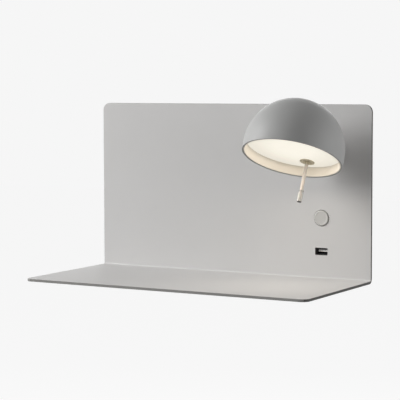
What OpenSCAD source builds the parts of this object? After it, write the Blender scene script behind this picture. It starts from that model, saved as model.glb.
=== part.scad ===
// Wall lamp with shelf: one folded sheet makes the back panel and the shelf, and a dome head
// swivels and tilts on a stem beside a push button and a charging socket.
// The origin is on the wall, at the centre of the wall bracket's four screw slots.
// +X is to the right, -Y into the room and +Z up.

/* [Shelf panel] */
// Width of the panel and of the shelf
panel_w = 360; // [350:1:480]
// Height of the panel above the shelf's top face
panel_h = 200; // [170:1:280]
// Depth of the shelf in front of the panel
shelf_d = 168; // [120:1:240]
// Thickness of the folded sheet
sheet_t = 3; // [2:0.5:4]
// Radius of the panel's top corners and the shelf's front corners
corner_r = 9; // [2:0.5:16]
// Inner radius of the fold between the panel and the shelf
fold_r = 3; // [1:0.5:8]

/* [Rear housing] */
// Depth of the housing between the wall and the panel
housing_d = 22; // [21:0.5:40]
// Distance of the housing's walls in from the panel's edges
housing_inset = 16; // [12:0.5:17]
// Wall thickness of the housing
housing_t = 1.2; // [0.8:0.1:2]
// Width of the flange that lies against the panel
housing_flange = 6; // [4:0.5:7]
// Radius of the housing's outer corners
housing_r = 4; // [2.5:0.5:10]
// Gap between the housing's rear rim and the wall
rim_gap = 1; // [0.5:0.1:2]
// Diameter of the studs welded to the panel's rear
stud_d = 4; // [3:0.5:5]
// Length of those studs behind the panel
stud_l = 7.5; // [6:0.5:10]
// Distance of the studs in from the housing's outer faces
stud_inset = 14; // [10:0.5:16]

/* [Wall bracket] */
// Gap between the bracket's end and the charging socket's module
bracket_gap = 6; // [3:0.5:10]
// Thickness of the bracket's sheet
bracket_t = 2; // [1.5:0.5:3]
// Depth of the bracket's flanges from the wall
bracket_flange = 14; // [10:0.5:16]
// Inner radius of the bracket's folds
bracket_fold_r = 1.5; // [0.5:0.5:3]
// Distance of the wall screws in from the bracket's ends
screw_inset = 15; // [9:0.5:30]
// Distance between the wall screws, up and down
screw_dz = 80; // [60:1:110]
// Width of a screw slot
slot_w = 5; // [4:0.5:6]
// Length of a screw slot, end to end
slot_l = 10; // [8:0.5:14]
// Diameter of the hole that the supply wires come through
cable_hole_d = 26; // [20:1:34]
// Distance between the two screws that lock the housing to the bracket
lock_dx = 120; // [80:1:150]
// Diameter of those screws
lock_d = 4; // [3:0.5:5]

/* [Head support] */
// Distance of the stem, button and socket in from the panel's right edge
lamp_inset = 62; // [58:0.5:68]
// Distance of the stem below the panel's top edge
stem_drop = 48.4; // [40:0.1:64]
// Outer diameter of the stem
stem_d = 12; // [11:0.5:13]
// Diameter of the bore that the lead runs through
stem_bore = 7; // [4:0.5:7.5]
// Distance of the tilt pivot in front of the panel
pivot_reach = 31; // [30:0.5:40]
// Gap between the fork's ears
fork_gap = 6; // [5:0.5:6.5]
// Height of the fork's ears, and the diameter of their round ends
ear_h = 11.2; // [10:0.1:11.4]
// Width over the fork's ears
ear_span = 10.8; // [10:0.1:11.4]
// Distance from the pivot back to the floor of the fork's gap
fork_depth = 12; // [11:0.5:13]
// Diameter of the hinge pin
pin_d = 4; // [3:0.5:4.5]
// Outer diameter of the bush that the stem turns in
bush_od = 16; // [15:0.5:18]
// Diameter of the bush's flange in front of the panel
bush_flange_d = 24; // [21:0.5:30]
// Thickness of that flange
bush_flange_t = 2; // [1:0.5:3]
// Thickness of the nut on the bush
bush_nut_t = 3; // [2:0.5:3.5]
// Outer diameter of the collar on the stem
collar_d = 19; // [17:0.5:22]
// Length of that collar
collar_l = 4; // [3:0.5:5]
// Thickness of the washers on both sides of the bush
washer_t = 0.8; // [0.5:0.1:1]
// Thickness of the stop washer behind the bush
stop_t = 1.5; // [1:0.1:2]
// Thickness of the nut on the stem
stem_nut_t = 3.5; // [3:0.5:4]
// Turn of the stem each way before it meets the stop
swivel_limit = 90; // [45:5:120]

/* [Shade] */
// Outer diameter of the dome
shade_d = 112.8; // [110:0.2:114]
// Wall thickness of the dome
shade_t = 1.5; // [1:0.1:2]
// Height of the straight skirt below the dome
skirt_h = 11.8; // [8:0.2:16]
// Lean of the shade at rest
head_tilt = 25; // [10:1:30]
// Tilt each way from rest
tilt_limit = 35; // [20:1:35]
// Distance of the pivot and the handle from the shade's axis, towards the wall
handle_off = 37.2; // [36:0.1:38]
// Height of the pivot above the dome's rim plane
pivot_h = 17.2; // [16.6:0.1:18.5]
// Width of the slot that the stem passes through
slot_gap_w = 13.5; // [12.5:0.5:15]

/* [Light] */
// Thickness of the diffuser
diffuser_t = 2; // [1:0.5:2.5]
// Wall thickness of the ring that holds the diffuser
ring_t = 1.3; // [1:0.1:2]
// Step of that ring inside the skirt's edge
ring_step = 0.4; // [0:0.1:1]
// Thickness of the reflector pan
pan_t = 2; // [1:0.1:2]
// Height of the pan's flange above the diffuser
pan_lift = 3; // [2.6:0.1:3]
// Height of the pan's raised middle above its flange
pan_rise = 10; // [8:0.5:14]
// Diameter of the pan's raised middle
pan_top_d = 40; // [38:0.5:42]
// Thickness of the light source's board
board_t = 1.5; // [1:0.1:2]
// Diameter of that board
board_d = 36; // [32:0.5:37]
// Number of light chips on the board
chip_count = 8; // [4:1:12]
// Diameter of the stud at the top of the dome
shade_stud_d = 5; // [4:0.5:6]

/* [Handle] */
// Diameter of the handle's rod
rod_d = 4; // [3.4:0.1:5]
// Diameter of the handle's grip
grip_d = 5.6; // [5.2:0.1:9]
// Distance from the diffuser down to the grip
grip_start = 34.7; // [25:0.1:45]
// Length of the grip with its end cap
grip_l = 13.9; // [10:0.1:20]
// Diameter of the round plate around the handle
bezel_d = 17; // [14:0.5:20]
// Thickness of that plate below the diffuser
bezel_t = 0.8; // [0.5:0.1:1.5]
// Length of the dark neck between the diffuser and the rod
neck_l = 3.5; // [2:0.1:8]

/* [Button] */
// Height of the button above the shelf's top face
button_h = 69.4; // [66:0.1:90]
// Diameter of the button
button_d = 18; // [17:0.5:21]
// Gap around the button in its hole
button_gap = 0.4; // [0.2:0.1:0.8]
// Height of the button in front of the panel
button_proud = 1.2; // [1:0.1:2]
// Travel of the button
button_travel = 1; // [0.5:0.1:1.2]
// Number of the button spring's coils
spring_turns = 5; // [3:1:7]

/* [Charging socket] */
// Height of the socket above the shelf's top face
usb_h = 30.7; // [29.5:0.1:35]
// Width of the opening in the panel
usb_w = 15.5; // [14.5:0.1:18]
// Height of that opening
usb_cut_h = 8.3; // [7.4:0.1:11]
// Outer width of the metal shell
shell_w = 13.1; // [13.1:0.1:13.3]
// Outer height of the metal shell
shell_h = 5.7; // [5.6:0.1:5.8]
// Sheet thickness of the metal shell
shell_t = 0.3; // [0.2:0.05:0.35]

/* [Electrics] */
// Length of the light driver
driver_l = 120; // [90:1:126]
// Width of the light driver
driver_w = 40; // [30:1:44]
// Height of the light driver
driver_h = 15; // [10:0.5:15]
// Diameter of the inner leads
lead_d = 2.6; // [2:0.1:3]
// Depth from the wall that the leads run at
lane_z = 10; // [8:0.5:11]
// Distance that the leads keep from what they pass
lane_gap = 8; // [6:0.5:9]

/* [Hidden] */
$fn = 64;
CUT = 1;            // how far a cutting shape runs past the face it cuts
RUN = 0.05;         // clearance of a part that turns or slides in its seat, a side
SEAT = 0.1;         // clearance of a part that is put in its seat and stays, a side
SINK = 0.5;         // how far the shapes that make one piece run into each other
LEAD_END = 0.15;    // gap between a lead's end and what it meets
LEAD_EASE = 0.8;    // clearance of a lead in a hole, a side
PAINT = "#b4b3ae";  // light warm grey paint
DARK = "#2b2b2c";
STEEL = "#a9abad";
CREAM = "#efe9d8";
LEAD = "#d8d6d0";

// Small hardware
hex_k = 1 / cos(30);    // corner radius of a hexagon over half its width across flats
nut_wall = 1.5;         // wall of a small nut, from its thread to its flats
thin_nut_wall = 2.6;    // the same for the two large thin nuts
nut_t_k = 0.8;          // thickness of a small nut over its thread's diameter
head_k = 1.8;           // diameter of a screw's head over its shaft's
head_t_k = 0.55;        // thickness of that head over the shaft's diameter
fix_d = 3;              // studs and screws that hold the inner pieces
fix_l = 5.5;
fix_nut_t = nut_t_k * fix_d;
function nut_r(d, wall = nut_wall) = (d / 2 + wall) * hex_k;

// Places seen from the front: x right, y up from the screw pattern's centre, z out of the wall
shelf_y = -panel_h / 2;
panel_z = housing_d;
front_z = housing_d + sheet_t;
housing_w = panel_w - 2 * housing_inset;
housing_h = panel_h - 2 * housing_inset;
inner_y = housing_h / 2 - housing_t;
stud_x = housing_w / 2 - stud_inset;
stud_y = housing_h / 2 - stud_inset;
stud_nut_t = nut_t_k * stud_d;
stud_tab = stud_inset + 5;
stud_tab_w = 20;
STUDS = [for (x = [-stud_x, 0, stud_x], y = [-stud_y, stud_y]) [x, y]];
lamp_x = panel_w / 2 - lamp_inset;

// Wall bracket: the housing hangs on its top flange, and screws lock it to the lower one
hang_gap = 0.3;
lock_z = bracket_flange - 6;
lock_tail = 5.5;
lock_l = housing_t + hang_gap + bracket_t + lock_tail;
module_w = 34;
bracket_w = 2 * (lamp_x - module_w / 2 - bracket_gap);
screw_dx = bracket_w - 2 * screw_inset;
grommet_wall = 3;
grommet_lip = 2.5;
grommet_lip_t = 2;
bracket_top = inner_y;
bracket_low = -inner_y + hang_gap;

// Stem and bush, along z
stem_y = panel_h / 2 - stem_drop;
bush_front_z = front_z + bush_flange_t;
bush_rear_z = panel_z - bush_nut_t - 0.5;
pivot_z = front_z + pivot_reach;
throat_z = pivot_z - fork_depth;
front_washer_z = bush_front_z + RUN;
rear_washer_z = bush_rear_z - RUN - washer_t;
stop_z = rear_washer_z - stop_t;
stem_nut_z = stop_z - stem_nut_t;
stem_rear_z = stem_nut_z - 1;
bush_nut_r = nut_r(bush_od, thin_nut_wall);
post_r = 1.5;
post_off = bush_nut_r + post_r + 0.4;
post_tip = 0.3;         // how far the stop post reaches past the stop washer
stop_r = post_off + post_r;
stop_hub_r = bush_od / 2 + 1;
collar_screw_d = 2.5;
collar_screw_in = 0.3;  // depth of the collar's screw below its outer face
collar_socket = 1.2;

// Fork and knuckle, across x
tongue_t = fork_gap - 1.2;
friction_t = (fork_gap - tongue_t) / 2 - 2 * RUN;
friction_d = ear_h - 1.2;
ear_r = ear_h / 2;
pin_head_t = 1.6;
pin_nut_t = 2.2;
pin_tail = 0.4;         // length of the pin past its nut

// Head: the origin is the dome's centre, z up the shade's axis and y towards the wall
shade_r = shade_d / 2;
dome_r = shade_r - shade_t;
flange_z = diffuser_t + pan_lift;
pan_z = flange_z + pan_t;
pan_r = sqrt(dome_r * dome_r - pan_z * pan_z) - 0.3;
pan_rim_t = 1.2;
pan_under_z = flange_z + pan_rise;
pan_top_z = pan_z + pan_rise;
pan_slope = 6;
pan_wall = 1;           // thickness of the pan's slope, side to side
diffuser_r = dome_r - 0.3;
foot_t = 2.5;
foot_z = pan_z + foot_t;
foot_w = 25;
foot_l = 15;
foot_screw_x = 9.5;
spigot_d = rod_d - 1;
neck_d = rod_d + 0.4;
grip_z = -grip_start;
tip_t = 0.6;
tip_step = 0.2;
tip_z = -(grip_start + grip_l);
spigot_l = 8;
spigot_z = pivot_h - pin_d / 2 - 2.7;
shade_nut_r = nut_r(shade_stud_d);
shade_nut_t = nut_t_k * shade_stud_d;
tube_r = shade_stud_d / 2 + 2;
tube_top_z = sqrt(dome_r * dome_r - tube_r * tube_r) - SEAT;
stud_low_z = pan_under_z - shade_nut_t - 0.8;
lead_hole_y = 11;
board_hole_d = 2 * shade_nut_r + 0.6;
chip_size = [2.8, 3.5, 0.8];
chip_in = 5;            // distance of the chips in from the board's edge
bezel_neck_d = bezel_d - 4.4;
bezel_edge = 0.3;
bezel_cone = 2.4;       // width of the bezel's hollow cone around the neck
bezel_cone_h = 2;
neck_ease = 0.2;
slot_ease = 0.9;        // clearance of the stem at the ends of the shade's slot
slot_from = 10;         // the slot is cut from here outwards, counted from the pivot

// Button, along z
button_y = shelf_y + button_h;
button_hole_d = button_d + 2 * button_gap;
cap_front_z = front_z + button_proud;
cup_floor_z = panel_z - 10;
cup_flange = 2;
cup_floor_t = 1.4;
cup_wall = 1.4;
cap_t = 1.6;
cap_wall = 1.2;
cap_skirt_l = 6.7;
plunger_d = 6;
plunger_end_z = cup_floor_z - cup_floor_t - 1.6;
clip_t = 0.7;
clip_wall = 1.5;
spring_d = 10;
spring_wire = 0.8;
micro_w = 13;
micro_h = 11;
micro_t = 5;
micro_pin_d = 3;
micro_pin_l = 0.5;
micro_z = plunger_end_z - button_travel - SEAT - micro_pin_l - micro_t;
holder_leg_t = 2;
holder_leg_w = 8;
holder_t = 1.5;
holder_z = 2.2;
holder_ear = 8;
holder_r = 4;
holder_stud_x = button_hole_d / 2 + 5;
HOLDER_STUDS = [for (s = [-1, 1]) [lamp_x + s * holder_stud_x, button_y]];

// Charging socket, along z
usb_y = shelf_y + usb_h;
module_h = 28;
module_t = 14;
module_r = 2;
module_rise = 7.8;
shell_l = 13;
shell_front_z = panel_z - 1.2;
tongue_w = 11.1;
usb_tongue_t = 1.9;
tongue_up = 0.8;
tongue_base_t = 2;
tongue_back = 0.6;
contact_w = 1;
contact_t = 0.15;
contact_l = 7;
contact_pitch = 2.3;
contact_z = shell_front_z - 1.4 - contact_l;
shell_y = usb_y - 0.4;
module_ear_t = 2;
module_ear = 8;
module_ear_h = 9;
module_ear_y = usb_y + module_rise + 4;
module_lead = [lamp_x - module_w / 2 - LEAD_END, usb_y + 6, lane_z + 1];
MODULE_STUDS = [for (s = [-1, 1]) [lamp_x + s * (module_w + module_ear) / 2, module_ear_y]];

// Electrics
driver_edge = 16;       // distance of the driver from the housing's left face
driver_drop = 15;       // distance of the driver below the upper studs
driver_x = -housing_w / 2 + driver_edge + driver_l / 2;
driver_y = stud_y - driver_drop - driver_w / 2;
driver_r = 3;
driver_ear = 8;
driver_ear_t = 1.5;
driver_z = panel_z - driver_h;
DRIVER_STUDS = [for (s = [-1, 1]) [driver_x + s * (driver_l + driver_ear) / 2, driver_y]];
block_w = 30;
block_h = 18;
block_t = 12;
block_r = 1;
block_step = 4;
block_pitch = 9;
block_well_d = 5;
block_well = 5;
block_entry = 3;
block_lead_z = 4;
block_gap = 17;         // distance of the block from the screws beside it
block_x = screw_dx / 2 - block_w / 2 - block_gap;
block_y = -screw_dz / 2 + 8;
earth_d = 4;
earth_l = 9;
earth_gap = 17;
earth_x = -cable_hole_d / 2 - earth_gap;
earth_y = block_y - block_step;

// Ends and lanes of the inner leads
lead_run = 6;           // straight length of a lead at its ends
block_top = [block_x, block_y + (block_h - block_entry) / 2, bracket_t + block_lead_z];
block_foot = [block_x, block_y - (block_h - block_entry) / 2, bracket_t + block_lead_z];
driver_end_x = driver_l / 2 + LEAD_END;
driver_lead_z = driver_z + 0.4 * driver_h;
driver_in = [driver_x - driver_end_x, driver_y, driver_lead_z];
driver_out = [driver_x + driver_end_x, driver_y, driver_lead_z];
driver_low = driver_out - [0, 0.3 * driver_w, 0];
lane_y = driver_y - driver_w / 2 - lane_gap;
lane_x = lamp_x - module_w / 2 - lane_gap;
dip_z = lead_d + 1;     // the stem's lead dips to here before it turns into the stem
dip_r = 4;              // radius of that turn

// ---------------------------------------------------------------- helpers

// Places its children as seen from the front: x right, y up, z out of the wall
module from_wall(x = 0, y = 0, z = 0) {
    rotate([90, 0, 0]) translate([x, y, z]) children();
}

// Extrudes an outline of (z out of the wall, y up) along the width, centred on x
module along_width(w) {
    rotate([90, 0, -90]) linear_extrude(w, center = true) children();
}

// Extrudes an outline of (y, z) along x, centred, in the frame it is called in
module across(w) {
    rotate([90, 0, 90]) linear_extrude(w, center = true) children();
}

// A cylinder along x, centred
module cross_cylinder(d, l) {
    rotate([0, 90, 0]) cylinder(d = d, h = l, center = true);
}

// A rectangle with four round corners, centred
module round_rect(w, h, r) {
    square([w - 2 * r, h], center = true);
    square([w, h - 2 * r], center = true);
    for (x = [-1, 1], y = [-1, 1]) translate([x * (w / 2 - r), y * (h / 2 - r)]) circle(r);
}

// A slot with round ends along x, centred
module obround(l, w) {
    square([l - w, w], center = true);
    for (x = [-1, 1]) translate([x * (l - w) / 2, 0]) circle(d = w);
}

// A quarter of a folded sheet's bend, in the first quadrant around the fold's centre
module quarter_bend(r, t) {
    intersection() {
        difference() {
            circle(r + t);
            circle(r);
        }
        square(r + t);
    }
}

module ring(od, id, h) {
    difference() {
        cylinder(d = od, h = h);
        translate([0, 0, -CUT]) cylinder(d = id, h = h + 2 * CUT);
    }
}

module hex_nut(corner_radius, bore, h) {
    difference() {
        cylinder(r = corner_radius, h = h, $fn = 6);
        translate([0, 0, -CUT]) cylinder(d = bore, h = h + 2 * CUT);
    }
}

// A socket screw that points down z: its head stands on z = 0
module screw(d, l) {
    head_t = head_t_k * d;
    translate([0, 0, -l]) cylinder(d = d, h = l + head_t / 2);
    difference() {
        cylinder(d = head_k * d, h = head_t);
        translate([0, 0, head_t / 2]) cylinder(d = d, h = head_t, $fn = 6);
    }
}

function unit(v) = v / norm(v);
// The way a route runs at b, between a and c: the nearer of the two counts more
function slope(a, b, c) =
    a == b ? unit(c - b) : b == c ? unit(b - a) :
    unit(norm(c - b) * unit(b - a) + norm(b - a) * unit(c - b));
function heading(p, i) = slope(p[max(i - 1, 0)], p[i], p[min(i + 1, len(p) - 1)]);
// A point on the curve from b to c, at the share t of the way; a and d are the points beside them
function blend(a, b, c, d, t) =
    let (l = norm(c - b))
    (2 * t * t * t - 3 * t * t + 1) * b + (t * t * t - 2 * t * t + t) * l * slope(a, b, c)
    + (3 * t * t - 2 * t * t * t) * c + (t * t * t - t * t) * l * slope(b, c, d);
// A smooth route through the points p, with n steps from each to the next
function route(p, n) =
    [for (i = [0 : len(p) - 2], k = [0 : n - 1])
         blend(p[max(i - 1, 0)], p[i], p[i + 1], p[min(i + 2, len(p) - 1)], k / n),
     p[len(p) - 1]];

// A round tube along the route p; up is never parallel to the route
module tube_along(p, d, up, sides = 8) {
    points = [for (i = [0 : len(p) - 1])
                  let (t = heading(p, i), u = unit(cross(t, up)), v = cross(t, u))
                  for (k = [0 : sides - 1])
                      p[i] + d / 2 * (cos(360 * k / sides) * u + sin(360 * k / sides) * v)];
    last = (len(p) - 1) * sides;
    walls = [for (i = [0 : len(p) - 2], k = [0 : sides - 1])
                 let (a = i * sides + k, b = i * sides + (k + 1) % sides)
                 each [[a, b + sides, b], [a, a + sides, b + sides]]];
    near_cap = [for (k = [0 : sides - 1]) k];
    far_cap = [for (k = [sides - 1 : -1 : 0]) last + k];
    polyhedron(points = points, faces = concat(walls, [near_cap, far_cap]), convexity = 6);
}

// ---------------------------------------------------------------- shelf panel

module panel_outline() {
    translate([-panel_w / 2, shelf_y + fold_r]) square([panel_w, panel_h - fold_r - corner_r]);
    translate([-panel_w / 2 + corner_r, panel_h / 2 - corner_r])
        square([panel_w - 2 * corner_r, corner_r]);
    for (x = [-1, 1]) translate([x * (panel_w / 2 - corner_r), panel_h / 2 - corner_r])
        circle(corner_r);
}

// Seen from above: x right, y into the room
module shelf_outline() {
    translate([-panel_w / 2, fold_r]) square([panel_w, shelf_d - fold_r - corner_r]);
    translate([-panel_w / 2 + corner_r, shelf_d - corner_r])
        square([panel_w - 2 * corner_r, corner_r]);
    for (x = [-1, 1]) translate([x * (panel_w / 2 - corner_r), shelf_d - corner_r])
        circle(corner_r);
}

// The holes for the stem's bush, the button and the socket
module front_cuts() {
    deep = sheet_t + 2 * CUT;
    from_wall(lamp_x, stem_y, panel_z - CUT) cylinder(d = bush_od + 2 * SEAT, h = deep);
    from_wall(lamp_x, button_y, panel_z - CUT) cylinder(d = button_hole_d, h = deep);
    from_wall(lamp_x, usb_y, panel_z - CUT) linear_extrude(deep)
        square([usb_w, usb_cut_h], center = true);
}

module shelf_panel() color(PAINT) {
    difference() {
        union() {
            from_wall(0, 0, panel_z) linear_extrude(sheet_t) panel_outline();
            along_width(panel_w) translate([front_z + fold_r, shelf_y + fold_r])
                rotate(180) quarter_bend(fold_r, sheet_t);
            translate([0, -front_z, shelf_y]) mirror([0, 1, 0]) mirror([0, 0, 1])
                linear_extrude(sheet_t) shelf_outline();
        }
        front_cuts();
    }
    for (p = STUDS) from_wall(p.x, p.y, panel_z - stud_l) cylinder(d = stud_d, h = stud_l + SINK);
    for (p = concat(DRIVER_STUDS, MODULE_STUDS, HOLDER_STUDS))
        from_wall(p.x, p.y, panel_z - fix_l) cylinder(d = fix_d, h = fix_l + SINK);
}

// ---------------------------------------------------------------- rear housing and bracket

// The opening inside the housing's flange, with a tab left around each stud
module housing_window() difference() {
    round_rect(housing_w - 2 * housing_flange, housing_h - 2 * housing_flange, housing_r);
    for (p = STUDS) translate([p.x, sign(p.y) * housing_h / 2])
        square([stud_tab_w, 2 * stud_tab], center = true);
}

module rear_housing() color(PAINT) difference() {
    from_wall(0, 0, rim_gap) linear_extrude(panel_z - rim_gap)
        round_rect(housing_w, housing_h, housing_r);
    from_wall(0, 0, rim_gap - CUT) linear_extrude(panel_z - housing_t - rim_gap + CUT)
        round_rect(housing_w - 2 * housing_t, housing_h - 2 * housing_t, housing_r - housing_t);
    from_wall(0, 0, rim_gap) linear_extrude(panel_z) housing_window();
    for (p = STUDS) from_wall(p.x, p.y, panel_z - housing_t - CUT)
        cylinder(d = stud_d + 2 * SEAT, h = housing_t + 2 * CUT);
    for (x = [-1, 1]) translate([x * lock_dx / 2, -lock_z, -housing_h / 2 - CUT])
        cylinder(d = lock_d + 2 * SEAT, h = housing_t + 2 * CUT);
}

module housing_nuts() color(STEEL)
    for (p = STUDS) from_wall(p.x, p.y, panel_z - housing_t - stud_nut_t)
        hex_nut(nut_r(stud_d), stud_d + 2 * RUN, stud_nut_t);

module bracket_section() {
    bend = bracket_fold_r + bracket_t;
    translate([0, bracket_low + bend]) square([bracket_t, bracket_top - bracket_low - 2 * bend]);
    translate([bend, bracket_top - bracket_t]) square([bracket_flange - bend, bracket_t]);
    translate([bend, bracket_low]) square([bracket_flange - bend, bracket_t]);
    translate([bend, bracket_top - bend]) rotate(90) quarter_bend(bracket_fold_r, bracket_t);
    translate([bend, bracket_low + bend]) rotate(180) quarter_bend(bracket_fold_r, bracket_t);
}

module wall_bracket() color(STEEL) difference() {
    along_width(bracket_w) bracket_section();
    for (x = [-1, 1], y = [-1, 1]) from_wall(x * screw_dx / 2, y * screw_dz / 2, -CUT)
        linear_extrude(bracket_t + 2 * CUT) obround(slot_l, slot_w);
    from_wall(0, 0, -CUT) cylinder(d = cable_hole_d, h = bracket_t + 2 * CUT);
    for (x = [-1, 1]) translate([x * lock_dx / 2, -lock_z, bracket_low - CUT])
        cylinder(d = lock_d + 2 * RUN, h = bracket_t + 2 * CUT);
}

module lock_screws() color(STEEL)
    for (x = [-1, 1]) translate([x * lock_dx / 2, -lock_z, -housing_h / 2]) mirror([0, 0, 1])
        screw(lock_d, lock_l);

module cable_grommet() color(DARK) from_wall() {
    bore = cable_hole_d - 2 * grommet_wall;
    ring(cable_hole_d - 2 * SEAT, bore, bracket_t + SINK);
    translate([0, 0, bracket_t]) ring(cable_hole_d + 2 * grommet_lip, bore, grommet_lip_t);
}

// ---------------------------------------------------------------- electrics

module terminal_block() color("#e9e7e0") from_wall(block_x, block_y, bracket_t) difference() {
    union() {
        linear_extrude(block_t - block_step) round_rect(block_w, block_h, block_r);
        linear_extrude(block_t) round_rect(block_w, block_h - 2 * block_step, block_r);
    }
    for (i = [-1, 0, 1]) {
        translate([i * block_pitch, 0, block_t - block_well])
            cylinder(d = block_well_d, h = block_well + CUT);
        for (s = [-1, 1]) translate([i * block_pitch, s * (block_h / 2 - block_entry), block_lead_z])
            rotate([-90 * s, 0, 0]) cylinder(d = lead_d + 2 * LEAD_EASE, h = block_entry + CUT);
    }
}

module earth_terminal() color("#c8a24a") from_wall(earth_x, earth_y, bracket_t) {
    cylinder(d = earth_d, h = earth_l);
    cylinder(r = nut_r(earth_d), h = nut_t_k * earth_d, $fn = 6);
}

module led_driver() color("#e4e4e1") from_wall(driver_x, driver_y, driver_z) {
    linear_extrude(driver_h) round_rect(driver_l, driver_w, driver_r);
    translate([0, 0, driver_h - driver_ear_t]) difference() {
        linear_extrude(driver_ear_t) round_rect(driver_l + 2 * driver_ear, driver_w / 2, driver_r);
        for (x = [-1, 1]) translate([x * (driver_l + driver_ear) / 2, 0, -CUT])
            cylinder(d = fix_d + 2 * SEAT, h = driver_ear_t + 2 * CUT);
    }
}

// Nuts on the studs that hold a piece of thickness t to the panel
module nuts_on(studs, t) color(STEEL)
    for (p = studs) from_wall(p.x, p.y, panel_z - t - fix_nut_t)
        hex_nut(nut_r(fix_d), fix_d + 2 * RUN, fix_nut_t);

module driver_nuts() nuts_on(DRIVER_STUDS, driver_ear_t);

// A lead leaves p, or arrives at p, in a straight run along v
function leave(p, v) = [p, p + v / 2, p + v];
function arrive(p, v) = [p + v, p + v / 2, p];

// An inner lead through the points, all seen from the wall
module lead(points, up = [0, 0, 1]) from_wall() tube_along(route(points, 4), lead_d, up);

module mains_lead() color(LEAD)
    lead(concat(leave(block_top - [block_pitch, 0, 0], [0, lead_run, 0]),
                [[block_x / 4, (block_y + lane_y) / 2, lane_z],
                 [driver_x + driver_l / 2, lane_y, lane_z],
                 [driver_x, lane_y, lane_z],
                 driver_in - [1.5 * lead_run, 2 * lead_run, 0]],
                arrive(driver_in, [-lead_run, 0, 0])));

module earth_lead() color("#7d9a3c")
    lead(concat(leave(block_foot, [0, -lead_run, 0]),
                [[block_x / 2, earth_y - 2 * lane_gap, lane_z],
                 [earth_x + 3 * lead_run, earth_y - lane_gap, lane_z]],
                arrive([earth_x + earth_d / 2 + LEAD_END, earth_y,
                        bracket_t + nut_t_k * earth_d + lead_d / 2 + 1], [lead_run, 0, 0])));

module driver_lead() color(LEAD)
    lead(concat(leave(driver_out, [lead_run, 0, 0]),
                [[lamp_x / 4, (driver_y + stem_y) / 2, lane_z],
                 [lamp_x - 2 * bush_od, stem_y, lane_z],
                 [lamp_x - bush_od, stem_y, dip_z + lead_d / 2],
                 [lamp_x - 2 * dip_r, stem_y, dip_z],
                 [lamp_x - dip_r, stem_y, dip_z],
                 [lamp_x - 0.29 * dip_r, stem_y, dip_z + 0.29 * dip_r]],
                arrive([lamp_x, stem_y, stem_rear_z - LEAD_END], [0, 0, -lead_run / 3])), [0, 1, 0]);

module switch_lead() color("#8d3b32")
    lead(concat(leave([lamp_x, button_y - micro_h / 2 - LEAD_END, micro_z + micro_t / 2],
                      [0, -lead_run / 3, 0]),
                [[lane_x, button_y - micro_h / 2, lane_z],
                 [block_x + block_w / 2 + lane_gap, block_y + block_h, lane_z],
                 [block_x / 2, lane_y, lane_z]],
                arrive(driver_low, [lead_run, 0, 0])));

module usb_lead() color(LEAD)
    lead(concat(leave(block_foot + [block_pitch, 0, 0], [0, -lead_run, 0]),
                [[(block_x + lamp_x) / 2, usb_y + 2 * lead_run, lane_z]],
                arrive(module_lead, [-lead_run, 0, 0])));

// ---------------------------------------------------------------- charging socket

module usb_module() color(DARK) difference() {
    union() {
        from_wall(lamp_x, usb_y + module_rise, panel_z - module_t)
            linear_extrude(module_t) round_rect(module_w, module_h, module_r);
        from_wall(lamp_x, module_ear_y, panel_z - module_ear_t) linear_extrude(module_ear_t)
            round_rect(module_w + 2 * module_ear, module_ear_h, module_r);
    }
    from_wall(lamp_x, usb_y, shell_front_z) linear_extrude(panel_z)
        square([usb_w, usb_cut_h], center = true);
    from_wall(lamp_x, shell_y, shell_front_z - shell_l) linear_extrude(shell_l + CUT)
        square([shell_w + 2 * RUN, shell_h + 2 * RUN], center = true);
    for (p = MODULE_STUDS) from_wall(p.x, p.y, panel_z - module_ear_t - CUT)
        cylinder(d = fix_d + 2 * SEAT, h = module_ear_t + 2 * CUT);
}

module module_nuts() nuts_on(MODULE_STUDS, module_ear_t);

module usb_shell() color(STEEL) from_wall(lamp_x, shell_y, shell_front_z - shell_l) difference() {
    linear_extrude(shell_l) square([shell_w, shell_h], center = true);
    translate([0, 0, tongue_base_t]) linear_extrude(shell_l)
        square([shell_w - 2 * shell_t, shell_h - 2 * shell_t], center = true);
}

module usb_tongue() color("#f2f2ee")
    from_wall(lamp_x, shell_y, shell_front_z - shell_l + tongue_base_t) {
    linear_extrude(tongue_base_t)
        square([shell_w - 2 * shell_t - 2 * RUN, shell_h - 2 * shell_t - 2 * RUN], center = true);
    translate([0, tongue_up, 0]) linear_extrude(shell_l - tongue_base_t - tongue_back)
        square([tongue_w, usb_tongue_t], center = true);
}

module usb_contacts() color("#d9b65a")
    for (i = [-1.5, -0.5, 0.5, 1.5])
        from_wall(lamp_x + i * contact_pitch, shell_y + tongue_up - (usb_tongue_t + contact_t) / 2,
                  contact_z)
            linear_extrude(contact_l) square([contact_w, contact_t], center = true);

// ---------------------------------------------------------------- button

module switch_holder() color(DARK) from_wall(lamp_x, button_y) difference() {
    union() {
        translate([0, 0, panel_z - holder_t]) linear_extrude(holder_t)
            round_rect(button_hole_d + 2 * holder_ear, button_hole_d + 2 * cup_flange, holder_r);
        translate([0, 0, cup_floor_z - cup_floor_t])
            cylinder(d = button_hole_d + 2 * cup_wall, h = panel_z - cup_floor_z + cup_floor_t - SINK);
        for (x = [-1, 1]) translate([x * (micro_w + holder_leg_t + 2 * SEAT) / 2, 0, holder_z])
            translate([-holder_leg_t / 2, -holder_leg_w / 2, 0])
                cube([holder_leg_t, holder_leg_w, cup_floor_z - holder_z]);
    }
    translate([0, 0, cup_floor_z]) cylinder(d = button_hole_d, h = panel_z);
    cylinder(d = plunger_d + 2 * RUN, h = panel_z);
    for (x = [-1, 1]) translate([x * holder_stud_x, 0, panel_z - holder_t - CUT])
        cylinder(d = fix_d + 2 * SEAT, h = holder_t + 2 * CUT);
}

module holder_nuts() nuts_on(HOLDER_STUDS, holder_t);

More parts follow.
